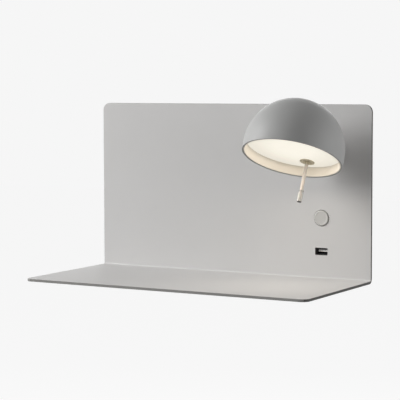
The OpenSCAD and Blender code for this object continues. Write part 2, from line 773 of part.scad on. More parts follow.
module micro_switch() color("#3a3a3c") from_wall(lamp_x, button_y, micro_z) {
    linear_extrude(micro_t) square([micro_w, micro_h], center = true);
    translate([0, 0, micro_t - SINK]) cylinder(d = micro_pin_d, h = SINK + micro_pin_l);
}

module button_spring() color(STEEL) from_wall(lamp_x, button_y) {
    low = cup_floor_z + spring_wire / 2;
    high = cap_front_z - cap_t - spring_wire / 2;
    steps = 10;
    closed = 0.8;   // turns at each end that lie flat
    tube_along([for (i = [0 : spring_turns * steps])
                    let (turn = i / steps,
                         rise = min(max((turn - closed) / (spring_turns - 2 * closed), 0), 1))
                    [spring_d / 2 * cos(360 * turn), spring_d / 2 * sin(360 * turn),
                     low + (high - low) * rise]],
               spring_wire - RUN, [0, 0, 1], 6);
}

module push_button() color(PAINT) from_wall(lamp_x, button_y) rotate_extrude() {
    r = button_d / 2;
    edge = 0.6;
    dish_r = r - 2.4;
    dish_slope = 0.5;
    dish_z = cap_front_z - 0.35;
    polygon([[0, plunger_end_z], [plunger_d / 2, plunger_end_z], [plunger_d / 2, cap_front_z - cap_t],
             [r - cap_wall, cap_front_z - cap_t], [r - cap_wall, cap_front_z - cap_skirt_l],
             [r, cap_front_z - cap_skirt_l], [r, cap_front_z - edge], [r - edge, cap_front_z],
             [dish_r, cap_front_z], [dish_r - dish_slope, dish_z], [0, dish_z]]);
}

module button_clip() color(STEEL)
    from_wall(lamp_x, button_y, cup_floor_z - cup_floor_t - SEAT - clip_t)
        ring(plunger_d + 2 * clip_wall, plunger_d + 2 * RUN, clip_t);

// ---------------------------------------------------------------- stem

module stem_bush() color("#d9d8d3") from_wall(lamp_x, stem_y) difference() {
    union() {
        translate([0, 0, bush_rear_z]) cylinder(d = bush_od, h = bush_front_z - bush_rear_z - SINK);
        translate([0, 0, front_z]) cylinder(d = bush_flange_d, h = bush_flange_t);
    }
    cylinder(d = stem_d + 2 * RUN, h = pivot_z);
}

module bush_nut() color(STEEL) from_wall(lamp_x, stem_y, panel_z - bush_nut_t)
    hex_nut(bush_nut_r, bush_od + 2 * RUN, bush_nut_t);

module stop_post() color(STEEL) from_wall(lamp_x, stem_y - post_off, stop_z - post_tip)
    cylinder(r = post_r, h = panel_z - stop_z + post_tip);

module stem_section() {
    ear_from = throat_z - 2;
    translate([stem_rear_z - CUT, -stem_d]) square([ear_from - stem_rear_z + CUT, 2 * stem_d]);
    translate([ear_from - CUT, -ear_r]) square([pivot_z - ear_from + CUT, ear_h]);
    translate([pivot_z, 0]) circle(ear_r);
}

// The fork's ears are the round bar with two flats, a gap and rounded ends
module stem() color("#cfcfcb") translate([lamp_x, 0, stem_y]) difference() {
    intersection() {
        from_wall(0, 0, stem_rear_z) cylinder(d = stem_d, h = pivot_z + ear_r - stem_rear_z + CUT);
        along_width(2 * stem_d) stem_section();
    }
    from_wall(0, 0, stem_rear_z - CUT) cylinder(d = stem_bore, h = throat_z - stem_rear_z + CUT);
    from_wall(-fork_gap / 2, -stem_d, throat_z) cube([fork_gap, 2 * stem_d, fork_depth + stem_d]);
    for (x = [-ear_span / 2 - stem_d, ear_span / 2])
        from_wall(x, -stem_d, throat_z - 2) cube([stem_d, 2 * stem_d, fork_depth + stem_d]);
    from_wall(0, 0, pivot_z) cross_cylinder(pin_d + 2 * RUN, 2 * stem_d);
}

module stem_collar() color("#cfcfcb")
    from_wall(lamp_x, stem_y, front_washer_z + washer_t) difference() {
        ring(collar_d, stem_d + 2 * RUN, collar_l);
        translate([0, 0, collar_l / 2]) rotate([90, 0, 0])
            cylinder(d = collar_screw_d + 2 * RUN, h = collar_d);
    }

module collar_screw() color(STEEL)
    from_wall(lamp_x, stem_y, front_washer_z + washer_t + collar_l / 2) rotate([90, 0, 0]) {
        low = stem_d / 2 + RUN;
        high = collar_d / 2 - collar_screw_in;
        difference() {
            translate([0, 0, low]) cylinder(d = collar_screw_d, h = high - low);
            translate([0, 0, high - collar_socket])
                cylinder(d = collar_screw_d / 2, h = collar_d, $fn = 6);
        }
    }

module stem_washers() color(DARK)
    for (z = [front_washer_z, rear_washer_z]) from_wall(lamp_x, stem_y, z)
        ring(bush_od + 1, stem_d + 2 * RUN, washer_t);

// A sector of the stop washer meets the post at each end of the swivel
module stop_washer() color(STEEL) from_wall(lamp_x, stem_y, stop_z) linear_extrude(stop_t)
    difference() {
        half = 180 - swivel_limit - asin((post_r + post_tip) / post_off);
        union() {
            circle(stop_hub_r);
            intersection() {
                circle(stop_r);
                stop_sector(half);
            }
        }
        circle(stem_d / 2 + RUN);
    }

// A pie outline around +y, half degrees each way
module stop_sector(half) {
    far = 2 * stop_r;
    polygon(concat([[0, 0]], [for (k = [-4 : 4]) far * [sin(half * k / 4), cos(half * k / 4)]]));
}

module stem_nut() color(STEEL) from_wall(lamp_x, stem_y, stem_nut_z)
    hex_nut(nut_r(stem_d, thin_nut_wall), stem_d + 2 * RUN, stem_nut_t);

module stem_lead() color(LEAD) from_wall(lamp_x, stem_y, stem_rear_z)
    cylinder(d = lead_d, h = throat_z - stem_rear_z);

module hinge_pin() color(STEEL) translate([lamp_x, 0, stem_y]) from_wall(0, 0, pivot_z) {
    end = ear_span / 2 + pin_nut_t + pin_tail;
    translate([(ear_span / 2 - end) / 2, 0, 0]) cross_cylinder(pin_d, ear_span / 2 + end);
    translate([(ear_span + pin_head_t) / 2, 0, 0]) cross_cylinder(head_k * pin_d, pin_head_t);
}

module hinge_nut() color(STEEL) translate([lamp_x - ear_span / 2, 0, stem_y]) from_wall(0, 0, pivot_z)
    rotate([0, -90, 0]) hex_nut(nut_r(pin_d), pin_d + 2 * RUN, pin_nut_t);

module friction_washers() color(DARK) translate([lamp_x, 0, stem_y]) from_wall(0, 0, pivot_z)
    for (side = [-1, 1]) translate([side * (tongue_t + friction_t + 2 * RUN) / 2, 0, 0])
        rotate([0, 90, 0]) translate([0, 0, -friction_t / 2])
            ring(friction_d, pin_d + 2 * RUN, friction_t);

// ---------------------------------------------------------------- head

// Places its children in the head's frame, at rest
module in_head() {
    translate([lamp_x, -pivot_z, stem_y]) rotate([-head_tilt, 0, 0])
        translate([0, -handle_off, -pivot_h]) children();
}

module at_handle(z = 0) {
    in_head() translate([0, handle_off, z]) children();
}

module head_knuckle() color(STEEL) at_handle() difference() {
    union() {
        translate([0, 0, pan_z]) linear_extrude(foot_t) round_rect(foot_w, foot_l, 3);
        across(tongue_t) {
            translate([-ear_r, pan_z + SINK]) square([ear_h, pivot_h - pan_z - SINK]);
            translate([0, pivot_h]) circle(ear_r);
        }
    }
    translate([0, 0, pivot_h]) cross_cylinder(pin_d + 2 * RUN, fork_gap + 2 * CUT);
    translate([0, 0, pan_z - CUT]) cylinder(d = spigot_d + 2 * RUN, h = spigot_z - pan_z + CUT + 2 * SEAT);
    for (x = [-1, 1]) translate([x * foot_screw_x, 0, pan_z - CUT])
        cylinder(d = fix_d + 2 * RUN, h = foot_t + 2 * CUT);
}

module knuckle_screws() color(STEEL)
    for (x = [-1, 1]) at_handle() translate([x * foot_screw_x, 0, flange_z]) mirror([0, 0, 1])
        screw(fix_d, pan_t + foot_t);

module reflector_pan() color("#f4f2ea") in_head() difference() {
    rotate_extrude() {
        top_r = pan_top_d / 2;
        polygon([[0, pan_under_z], [top_r - pan_wall, pan_under_z],
                 [top_r + pan_slope - pan_wall, flange_z],
                 [pan_r - pan_rim_t, flange_z], [pan_r - pan_rim_t, diffuser_t], [pan_r, diffuser_t],
                 [pan_r, pan_z], [top_r + pan_slope, pan_z], [top_r, pan_top_z], [0, pan_top_z]]);
    }
    cylinder(d = shade_stud_d + 2 * SEAT, h = pan_top_z + CUT);
    translate([0, handle_off, 0]) {
        cylinder(d = spigot_d + 2 * SEAT, h = pan_z + CUT);
        for (x = [-1, 1]) translate([x * foot_screw_x, 0, 0])
            cylinder(d = fix_d + 2 * SEAT, h = pan_z + CUT);
    }
    translate([0, lead_hole_y, 0]) cylinder(d = lead_d + LEAD_EASE, h = pan_top_z + CUT);
}

module led_board() color("#f7f7f3") in_head() translate([0, 0, pan_under_z - board_t])
    ring(board_d, board_hole_d, board_t);

module led_chips() color("#f3d879") in_head()
    for (k = [0 : chip_count - 1]) rotate(360 * (k + 0.5) / chip_count)
        translate([board_d / 2 - chip_in, 0, pan_under_z - board_t - chip_size.z / 2])
            cube(chip_size, center = true);

module spacer_tube() color(STEEL) in_head() translate([0, 0, pan_top_z])
    ring(2 * tube_r, shade_stud_d + 2 * SEAT, tube_top_z - pan_top_z);

module stud_nut() color(STEEL) in_head() translate([0, 0, pan_under_z - shade_nut_t])
    hex_nut(shade_nut_r, shade_stud_d + 2 * RUN, shade_nut_t);

// Outline of a dome over a straight skirt, down to -low
module dome_outline(r, low) {
    intersection() {
        circle(r);
        square(r);
    }
    translate([0, -low]) square([r, low]);
}

// Height across the stem's direction where a limb of half-width w, turned by a from the slot's
// middle, leaves the dome
function exit_height(a, w) =
    let (c = head_centre_in_stem(),
         p = [-w * sin(a) - c.x, w * cos(a) - c.y],
         b = p.x * cos(a) + p.y * sin(a),
         s = -b + sqrt(b * b - (p.x * p.x + p.y * p.y) + shade_r * shade_r))
    s * sin(a) + w * cos(a);
// The dome's centre seen from the pivot: along the stem, and across it
function head_centre_in_stem() =
    [-handle_off * cos(head_tilt) - pivot_h * sin(head_tilt),
     handle_off * sin(head_tilt) - pivot_h * cos(head_tilt)];

module shade() color("#8f8f8d") {
    high = exit_height(tilt_limit, stem_d / 2) + slot_ease;
    low = exit_height(-tilt_limit, -stem_d / 2) - slot_ease;
    in_head() difference() {
        rotate_extrude() difference() {
            dome_outline(shade_r, skirt_h);
            dome_outline(dome_r, skirt_h + CUT);
        }
        translate([0, handle_off, pivot_h]) rotate([head_tilt, 0, 0]) rotate([-90, 0, 0])
            translate([0, -(high + low) / 2, slot_from]) linear_extrude(shade_r)
                rotate(90) obround(high - low, slot_gap_w);
    }
    in_head() translate([0, 0, stud_low_z])
        cylinder(d = shade_stud_d, h = dome_r + shade_t / 2 - stud_low_z);
}

module diffuser() color("#fffdf2") in_head() difference() {
    cylinder(r = diffuser_r, h = diffuser_t);
    translate([0, handle_off, -CUT]) cylinder(d = bezel_neck_d + 2 * SEAT, h = diffuser_t + 2 * CUT);
}

module diffuser_ring() color(CREAM) in_head() translate([0, 0, ring_step - skirt_h])
    ring(2 * dome_r - 2 * RUN, 2 * (dome_r - ring_t), skirt_h - ring_step);

// The throat of the fork and the pivot, in the head's frame: (y, z)
function by_stem(s, h) =
    [0, handle_off + s * cos(head_tilt) - h * sin(head_tilt),
     pivot_h + s * sin(head_tilt) + h * cos(head_tilt)];

module head_lead() color(LEAD) in_head()
    tube_along(route([by_stem(fork_depth - LEAD_END, 0), by_stem(fork_depth - 1.6, 0),
                      by_stem(9, 1.1), by_stem(8.3, 3.2), by_stem(7.2, 6.4), by_stem(4, 9.2),
                      by_stem(-2, 10.4), by_stem(-10, 12), [0, lead_hole_y + 4, pan_top_z + 8],
                      [0, lead_hole_y, pan_top_z + 4], [0, lead_hole_y, pan_top_z + 1],
                      [0, lead_hole_y, pan_under_z + LEAD_END]], 4),
               lead_d, [1, 0, 0]);

// ---------------------------------------------------------------- handle

module handle_bezel() color("#7c7a68") at_handle() rotate_extrude()
    polygon([[neck_d / 2 + neck_ease, flange_z], [bezel_neck_d / 2, flange_z], [bezel_neck_d / 2, 0],
             [bezel_d / 2, 0], [bezel_d / 2, bezel_edge - bezel_t], [bezel_d / 2 - bezel_edge, -bezel_t],
             [neck_d / 2 + bezel_cone, -bezel_t], [neck_d / 2 + neck_ease, bezel_cone_h]]);

module handle_neck() color("#4c4a40") at_handle(-neck_l)
    ring(neck_d, spigot_d + 2 * RUN, flange_z + neck_l);

module handle_rod() color(CREAM) at_handle() {
    translate([0, 0, grip_z]) cylinder(d = rod_d, h = grip_start - neck_l);
    translate([0, 0, -neck_l - SINK]) cylinder(d = spigot_d, h = spigot_z + neck_l + SINK);
    translate([0, 0, grip_z - spigot_l]) cylinder(d = spigot_d, h = spigot_l + SINK);
}

module handle_grip() color(CREAM) at_handle() rotate_extrude() {
    r = grip_d / 2;
    bore = spigot_d / 2 + RUN;
    bore_z = grip_z - spigot_l - 3 * SEAT;
    edge = 0.2;
    band = 1.1;     // the ring at the grip's upper end, above a shallow groove
    groove = 0.7;
    groove_deep = 0.35;
    groove_low = grip_z - band - edge - groove;
    low = tip_z + tip_t;
    polygon([[0, bore_z], [bore, bore_z], [bore, grip_z], [r - edge, grip_z], [r, grip_z - edge],
             [r, grip_z - band], [r - groove_deep, grip_z - band - edge], [r - groove_deep, groove_low],
             [r - edge / 2, groove_low - edge], [r, low + edge], [r, low], [0, low]]);
}

module handle_tip() color("#6c6c6a") at_handle(tip_z) cylinder(d = grip_d - 2 * tip_step, h = tip_t);

shelf_panel();
rear_housing();
housing_nuts();
wall_bracket();
lock_screws();
cable_grommet();
terminal_block();
earth_terminal();
led_driver();
driver_nuts();
mains_lead();
earth_lead();
driver_lead();
switch_lead();
usb_lead();
usb_module();
module_nuts();
usb_shell();
usb_tongue();
usb_contacts();
switch_holder();
holder_nuts();
micro_switch();
button_spring();
push_button();
button_clip();
stem_bush();
bush_nut();
stop_post();
stem();
stem_collar();
collar_screw();
stem_washers();
stop_washer();
stem_nut();
stem_lead();
hinge_pin();
hinge_nut();
friction_washers();
head_knuckle();
knuckle_screws();
reflector_pan();
led_board();
led_chips();
spacer_tube();
stud_nut();
shade();
diffuser();
diffuser_ring();
head_lead();
handle_bezel();
handle_neck();
handle_rod();
handle_grip();
handle_tip();
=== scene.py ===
"""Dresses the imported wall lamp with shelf: finishes, finer pieces, studio and camera.

Sizes are in millimetres in the classes, as in the part's source, and are turned into metres
when a mesh is made. The frame is the part's: +X right, -Y into the room, +Z up.
"""

from __future__ import annotations

import logging
import math
from dataclasses import dataclass
from enum import Enum
from typing import Iterable, Sequence

import bmesh
import bpy
from mathutils import Matrix, Vector


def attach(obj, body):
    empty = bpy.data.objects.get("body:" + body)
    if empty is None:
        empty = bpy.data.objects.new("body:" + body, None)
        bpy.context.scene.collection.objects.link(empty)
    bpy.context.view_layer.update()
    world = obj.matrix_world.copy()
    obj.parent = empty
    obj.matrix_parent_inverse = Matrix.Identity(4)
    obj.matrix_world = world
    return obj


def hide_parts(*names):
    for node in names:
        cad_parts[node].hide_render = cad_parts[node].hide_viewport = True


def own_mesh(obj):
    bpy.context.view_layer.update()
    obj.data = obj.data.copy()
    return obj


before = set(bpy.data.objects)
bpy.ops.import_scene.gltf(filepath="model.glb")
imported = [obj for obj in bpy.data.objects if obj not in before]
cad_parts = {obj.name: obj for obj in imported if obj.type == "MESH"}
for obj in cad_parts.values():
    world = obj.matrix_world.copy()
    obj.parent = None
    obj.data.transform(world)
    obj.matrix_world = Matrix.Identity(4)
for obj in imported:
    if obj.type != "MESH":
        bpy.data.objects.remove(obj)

LOG = logging.getLogger("wall_lamp")
MM = 0.001
Colour = tuple[float, float, float]
Point = tuple[float, float, float]
Outline = Sequence[tuple[float, float]]
Solid = bmesh.types.BMesh
Tree = bpy.types.NodeTree
Node = bpy.types.Node
Socket = bpy.types.NodeSocket


def paint(red: int, green: int, blue: int) -> Colour:
    """Turns a colour read as 0 to 255 on a screen into the linear colour that a shader takes.

    Args:
        red, green, blue: The colour, 0 to 255.

    Returns:
        The linear red, green and blue.
    """

    def linear(value: int) -> float:
        """Undoes the screen's curve for one channel."""
        share = value / 255
        return share / 12.92 if share <= 0.04045 else ((share + 0.055) / 1.055) ** 2.4

    return linear(red), linear(green), linear(blue)


def wired(tree: Tree, kind: str, inputs: dict[str | int, object] | None = None) -> Node:
    """Adds a shader node and fills its inputs.

    Args:
        tree: The node tree.
        kind: Type of the node, after "ShaderNode".
        inputs: What each input gets: a plain value, or an output that is linked to it.

    Returns:
        The node.
    """
    made = tree.nodes.new("ShaderNode" + kind)
    for key, value in (inputs or {}).items():
        if isinstance(value, Socket):
            tree.links.new(value, made.inputs[key])
        else:
            made.inputs[key].default_value = value
    return made


class Body(Enum):
    """The bodies of the part that a piece rides on."""

    BASE = "base"
    BUTTON = "button"
    ARM = "arm"
    HEAD = "head"


class Grain(Enum):
    """How the fine texture of a finish lies on the surface."""

    EVEN = (1.0, 1.0, 1.0)
    ALONG_X = (0.03, 1.0, 1.0)


@dataclass(frozen=True)
class Finish:
    """One surface finish, as a node material on Object coordinates.

    Attributes:
        name: Name of the material.
        colour: Linear base colour.
        rough: Roughness at the middle of its spread.
        metal: 0 for paint and plastic, 1 for bare metal.
        drift, drift_scale: How far the colour drifts, as a share; patches per metre.
        grain, grain_scale: Direction of the fine grain; grains per metre.
        grain_depth: Height of the grain, in millimetres.
        rough_spread: How far the roughness strays over the patches.
        specular: Specular level.
        glow, glow_colour: Strength and linear colour of the light it gives.
        glow_centre: Point where that light is strongest, in millimetres.
        glow_reach: Distance at which it has faded, in millimetres; 0 for an even glow.
        glow_fade: Share that is lost there.
        skin: Weight of light passing under the surface.
    """

    name: str
    colour: Colour
    rough: float = 0.5
    metal: float = 0.0
    drift: float = 0.04
    drift_scale: float = 14.0
    grain: Grain = Grain.EVEN
    grain_scale: float = 1500.0
    grain_depth: float = 0.02
    rough_spread: float = 0.06
    specular: float = 0.5
    glow: float = 0.0
    glow_colour: Colour = (1.0, 1.0, 1.0)
    glow_centre: Point = (0.0, 0.0, 0.0)
    glow_reach: float = 0.0
    glow_fade: float = 0.14
    skin: float = 0.0

    def make(self) -> bpy.types.Material:
        """Makes the material, or gives back the one made before.

        Returns:
            The node material.
        """
        known = bpy.data.materials.get(self.name)
        if known is not None and known.get("made_here"):
            return known
        material = bpy.data.materials.new(self.name)
        material["made_here"] = True
        material.use_nodes = True
        tree = material.node_tree
        shader = tree.nodes["Principled BSDF"]
        for socket, value in (
            ("Metallic", self.metal),
            ("Specular IOR Level", self.specular),
            ("Emission Strength", self.glow),
            ("Subsurface Weight", self.skin),
            ("Subsurface Scale", 0.002),
        ):
            shader.inputs[socket].default_value = value
        shader.inputs["Emission Color"].default_value = (*self.glow_colour, 1.0)
        place = wired(tree, "TexCoord").outputs["Object"]
        self._colour_drift(shader, place)
        self._fine_grain(shader, place)
        if self.glow_reach > 0:
            self._fading_glow(shader, place)
        return material

    def _colour_drift(self, shader: Node, place: Socket) -> None:
        """Lets colour and roughness drift a little over broad patches."""
        tree = shader.id_data
        patches = wired(tree, "TexNoise", {"Scale": self.drift_scale, "Detail": 4.0, "Vector": place})
        tones = wired(tree, "ValToRGB", {"Fac": patches.outputs["Fac"]})
        for stop, sign in zip(tones.color_ramp.elements, (-1.0, 1.0)):
            stop.position = 0.5 + 0.2 * sign
            stop.color = (*(min(1.0, c * (1.0 + sign * self.drift)) for c in self.colour), 1.0)
        tree.links.new(tones.outputs["Color"], shader.inputs["Base Color"])
        sheen = wired(tree, "MapRange", {
            "From Min": 0.3, "From Max": 0.7, "To Min": max(0.0, self.rough - self.rough_spread),
            "To Max": min(1.0, self.rough + self.rough_spread), "Value": patches.outputs["Fac"]})
        tree.links.new(sheen.outputs["Result"], shader.inputs["Roughness"])

    def _fine_grain(self, shader: Node, place: Socket) -> None:
        """Raises the fine texture of paint, plastic or brushed metal."""
        tree = shader.id_data
        turn = wired(tree, "Mapping", {"Scale": self.grain.value, "Vector": place})
        specks = wired(tree, "TexNoise", {
            "Scale": self.grain_scale, "Detail": 3.0, "Vector": turn.outputs["Vector"]})
        bump = wired(tree, "Bump", {
            "Strength": 0.6, "Distance": self.grain_depth * MM, "Height": specks.outputs["Fac"]})
        tree.links.new(bump.outputs["Normal"], shader.inputs["Normal"])

    def _fading_glow(self, shader: Node, place: Socket) -> None:
        """Lets the light fade a little from its centre outwards."""
        tree = shader.id_data
        centre = wired(tree, "Mapping", {
            "Location": [-value * MM for value in self.glow_centre], "Vector": place})
        reach = wired(tree, "VectorMath", {0: centre.outputs["Vector"]})
        reach.operation = "LENGTH"
        fade = wired(tree, "MapRange", {
            "From Min": 0.3 * self.glow_reach * MM, "From Max": self.glow_reach * MM,
            "To Min": self.glow, "To Max": self.glow * (1.0 - self.glow_fade),
            "Value": reach.outputs["Value"]})
        fade.interpolation_type = "SMOOTHSTEP"
        tree.links.new(fade.outputs["Result"], shader.inputs["Emission Strength"])


PANEL_PAINT = Finish("panel_paint", paint(202, 201, 200), rough=0.66, drift=0.012, grain_depth=0.016,
                     specular=0.3)
# Painted shade: the cut edges and hole walls are darker than the panel, to look under-lit.
EDGE_PAINTED_SHADE = Finish("edge_painted_shade", paint(140, 139, 136), rough=0.66, drift=0.02, specular=0.3)
# Painted shade: the sideways-facing cut edges are darkened further, as if that side got no light.
SIDE_PAINTED_SHADE = Finish("side_painted_shade", paint(78, 77, 75), rough=0.66, drift=0.02, specular=0.3)
HOUSING_PAINT = Finish("housing_paint", paint(182, 181, 177), rough=0.5, drift=0.015, grain_depth=0.016)
SHADE_PAINT = Finish("shade_paint", paint(164, 164, 163), rough=0.55, drift=0.012, grain_depth=0.014,
                     specular=0.4)
BUTTON_PAINT = Finish("button_paint", paint(188, 187, 184), rough=0.42, drift=0.015)
ZINC = Finish("zinc_plate", paint(196, 198, 200), rough=0.34, metal=1.0, drift=0.05, drift_scale=90.0)
# Painted shade: the socket's steel shell is darkened for the shade inside the panel's opening.
SHELL_STEEL_PAINTED_SHADE = Finish("shell_steel_painted_shade", paint(62, 62, 64), rough=0.5, metal=1.0, drift=0.06, drift_scale=160.0)
DARK_ZINC = Finish("hinge_steel", paint(150, 151, 153), rough=0.3, metal=1.0, drift=0.06, drift_scale=120.0)
BRUSHED = Finish("turned_aluminium", paint(206, 206, 204), rough=0.3, metal=1.0, grain=Grain.ALONG_X,
                 grain_scale=2600.0, grain_depth=0.006)
WHITE_PAINT = Finish("reflector_paint", paint(240, 238, 230), rough=0.6, drift=0.01)
BLACK_PLASTIC = Finish("black_plastic", paint(26, 26, 27), rough=0.55, drift=0.08, grain_scale=2200.0)
RUBBER = Finish("grommet_rubber", paint(38, 38, 38), rough=0.8, drift=0.1, grain_depth=0.03)
WHITE_PLASTIC = Finish("white_plastic", paint(232, 230, 224), rough=0.4, drift=0.01, skin=0.05)
# Painted light: the tongue glows a little, to lift it out of the shade inside the socket.
TONGUE_PAINTED_LIGHT = Finish("tongue_painted_light", paint(240, 239, 234), rough=0.35, drift=0.01, glow=0.06)
DRIVER_CASE = Finish("driver_case", paint(226, 226, 222), rough=0.45, drift=0.012)
OPAL = Finish("lit_opal", paint(120, 118, 110), rough=0.5, drift=0.01, glow=0.87,
              glow_colour=paint(252, 247, 234), glow_centre=(118.0, -97.0, 51.7), glow_reach=56.0,
              glow_fade=0.2, specular=0.3)
CREAM = Finish("cream_skirt", paint(232, 225, 214), rough=0.5, drift=0.012)
CREAM_ROD = Finish("cream_handle", paint(182, 175, 168), rough=0.45, drift=0.012, skin=0.06)
PALE_GRIP = Finish("pale_grip", paint(164, 161, 156), rough=0.45, drift=0.012, skin=0.06)
LEAD_JACKET = Finish("lead_jacket", paint(214, 212, 205), rough=0.42, drift=0.02)
RED_JACKET = Finish("red_jacket", paint(150, 52, 44), rough=0.42, drift=0.03)
EARTH_JACKET = Finish("earth_jacket", paint(126, 152, 58), rough=0.42, drift=0.03)
BRASS = Finish("brass", paint(206, 170, 96), rough=0.26, metal=1.0, drift=0.06, drift_scale=120.0)
BOARD = Finish("board_white", paint(240, 240, 236), rough=0.35, drift=0.01)
PHOSPHOR = Finish("chip_phosphor", paint(240, 205, 110), rough=0.3, glow=1.5,
                  glow_colour=paint(255, 236, 190))
OLIVE = Finish("olive_bezel", paint(212, 203, 178), rough=0.5, metal=0.1, drift=0.03, drift_scale=60.0)
DARK_NECK = Finish("dark_neck", paint(178, 171, 152), rough=0.4, metal=0.3, drift=0.04, drift_scale=60.0)
TIP_GREY = Finish("tip_grey", paint(104, 103, 100), rough=0.55, drift=0.03)


def at_wall(across: float = 0.0, height: float = 0.0, out: float = 0.0) -> Matrix:
    """Gives the place of a piece whose own Z points out of the wall.

    Args:
        across: Distance to the right, in millimetres.
        height: Height above the screw pattern's centre, in millimetres.
        out: Distance from the wall, in millimetres.

    Returns:
        The matrix from the piece to the part's frame, both in millimetres.
    """
    return Matrix.Translation((across, -out, height)) @ Matrix.Rotation(math.radians(90), 4, "X")


def quarter(steps: int) -> list[float]:
    """Gives the angles of a quarter turn in equal steps, in radians."""
    return [math.pi / 2 * k / steps for k in range(steps + 1)]


def shown(name: str, data: bpy.types.ID) -> bpy.types.Object:
    """Makes an object of a mesh, light or camera and puts it in the scene."""
    obj = bpy.data.objects.new(name, data)
    bpy.context.scene.collection.objects.link(obj)
    return obj


def turned(outline: Outline, steps: int = 96, closed: bool = False) -> Solid:
    """Turns an outline of (radius, z) points about Z, as on a lathe.

    Args:
        outline: The points, in millimetres, from the axis round to the axis, or closed.
        steps: Facets round the axis.
        closed: Whether the outline closes on itself, away from the axis.

    Returns:
        The turned solid, its faces outwards.
    """
    bm = bmesh.new()
    points = [bm.verts.new((x, 0.0, z)) for x, z in outline]
    for first, second in zip(points, points[1:] + (points[:1] if closed else [])):
        bm.edges.new((first, second))
    bmesh.ops.spin(bm, geom=bm.verts[:] + bm.edges[:], cent=(0, 0, 0), axis=(0, 0, 1), dvec=(0, 0, 0),
                   angle=math.tau, steps=steps, use_merge=True, use_duplicate=False)
    return clean(bm)


def clean(bm: Solid) -> Solid:
    """Merges doubles, drops faces with no area and points all faces of a solid outwards."""
    bmesh.ops.remove_doubles(bm, verts=bm.verts, dist=1e-4)
    bmesh.ops.dissolve_degenerate(bm, dist=1e-5, edges=bm.edges)
    bmesh.ops.recalc_face_normals(bm, faces=bm.faces)
    return bm


def soften(bm: Solid, width: float, segments: int = 3, angle: float = 35.0) -> Solid:
    """Rounds every edge that is sharper than an angle.

    Args:
        bm: The solid.
        width: Width of the rounding, in millimetres.
        segments: Facets across the rounding.
        angle: Edges that turn more than this many degrees are rounded.

    Returns:
        The same solid.
    """
    limit = math.radians(angle)
    sharp = [e for e in bm.edges if len(e.link_faces) == 2 and e.calc_face_angle(0.0) > limit]
    bmesh.ops.bevel(bm, geom=sharp, offset=width, offset_type="OFFSET", affect="EDGES", segments=segments,
                    profile=0.5, material=-1, clamp_overlap=True)
    return bm


def bar(width: float, depth: float, height: float, radius: float = 0.0, segments: int = 4) -> Solid:
    """Makes a block standing on z = 0 with four rounded upright edges.

    Args:
        width, depth, height: Sizes along x, y and z.
        radius: Radius of the upright edges.
        segments: Facets round each edge.

    Returns:
        The block.
    """
    bm = bmesh.new()
    bmesh.ops.create_cube(bm, size=1.0)
    bmesh.ops.scale(bm, vec=(width, depth, height), verts=bm.verts)
    bmesh.ops.translate(bm, vec=(0, 0, height / 2), verts=bm.verts)
    if radius > 0:
        upright = [e for e in bm.edges if abs(e.verts[0].co.z - e.verts[1].co.z) > height / 2]
        bmesh.ops.bevel(bm, geom=upright, offset=radius, offset_type="OFFSET", affect="EDGES",
                        segments=segments, profile=0.5, material=-1)
    return bm


def rod(diameter: float, length: float, sides: int = 64) -> Solid:
    """Makes a round or many-sided bar standing on z = 0.

    Args:
        diameter: Diameter over the corners.
        length: Length along z.
        sides: Number of sides.

    Returns:
        The bar.
    """
    bm = bmesh.new()
    bmesh.ops.create_cone(bm, cap_ends=True, segments=sides, radius1=diameter / 2, radius2=diameter / 2,
                          depth=length)
    bmesh.ops.translate(bm, vec=(0, 0, length / 2), verts=bm.verts)
    return bm


def joined(parts: Iterable[Solid]) -> Solid:
    """Puts several bmeshes into one and frees them."""
    whole = bmesh.new()
    for part in parts:
        holder = bpy.data.meshes.new("join")
        part.to_mesh(holder)
        part.free()
        whole.from_mesh(holder)
        bpy.data.meshes.remove(holder)
    return whole


def moved(bm: Solid, place: Matrix) -> Solid:
    """Moves a bmesh by a matrix in millimetres."""
    bm.transform(place)
    return bm


def carved(body: Solid, cutters: Iterable[Solid]) -> Solid:
    """Cuts solids out of a solid.

    Args:
        body: The solid that is cut; it is freed.
        cutters: The solids that are taken away; they are freed.

    Returns:
        What is left, as a new bmesh.
    """

    def stand_in(bm: Solid) -> bpy.types.Object:
        """Makes a short-lived object of a bmesh, which is freed."""
        mesh = bpy.data.meshes.new("stand_in")
        bm.to_mesh(mesh)
        bm.free()
        return shown("stand_in", mesh)

    kept = stand_in(body)
    taken = [stand_in(bm) for bm in cutters]
    for cutter in taken:
        cut = kept.modifiers.new("cut", "BOOLEAN")
        cut.operation = "DIFFERENCE"
        cut.solver = "EXACT"
        cut.object = cutter
    graph = bpy.context.evaluated_depsgraph_get()
    result = bpy.data.meshes.new_from_object(kept.evaluated_get(graph))
    left = bmesh.new()
    left.from_mesh(result)
    for obj in [kept, *taken]:
        mesh = obj.data
        bpy.data.objects.remove(obj)
        bpy.data.meshes.remove(mesh)
    bpy.data.meshes.remove(result)
    return left


def refined(node: str, width: float, segments: int = 2) -> Solid:
    """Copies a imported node, merges its loose triangles and rounds its edges.

    Args:
        node: Name of the node.
        width: Width of the rounding, in millimetres.
        segments: Facets across the rounding.

    Returns:
        The copy, in millimetres.
    """
    bm = bmesh.new()
    bm.from_mesh(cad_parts[node].data)
    bmesh.ops.scale(bm, vec=(1 / MM,) * 3, verts=bm.verts)
    bmesh.ops.remove_doubles(bm, verts=bm.verts, dist=2e-3)
    bmesh.ops.dissolve_degenerate(bm, dist=1e-3, edges=bm.edges)
    bmesh.ops.dissolve_limit(bm, angle_limit=math.radians(0.6), verts=bm.verts, edges=bm.edges)
    return soften(bm, width, segments)


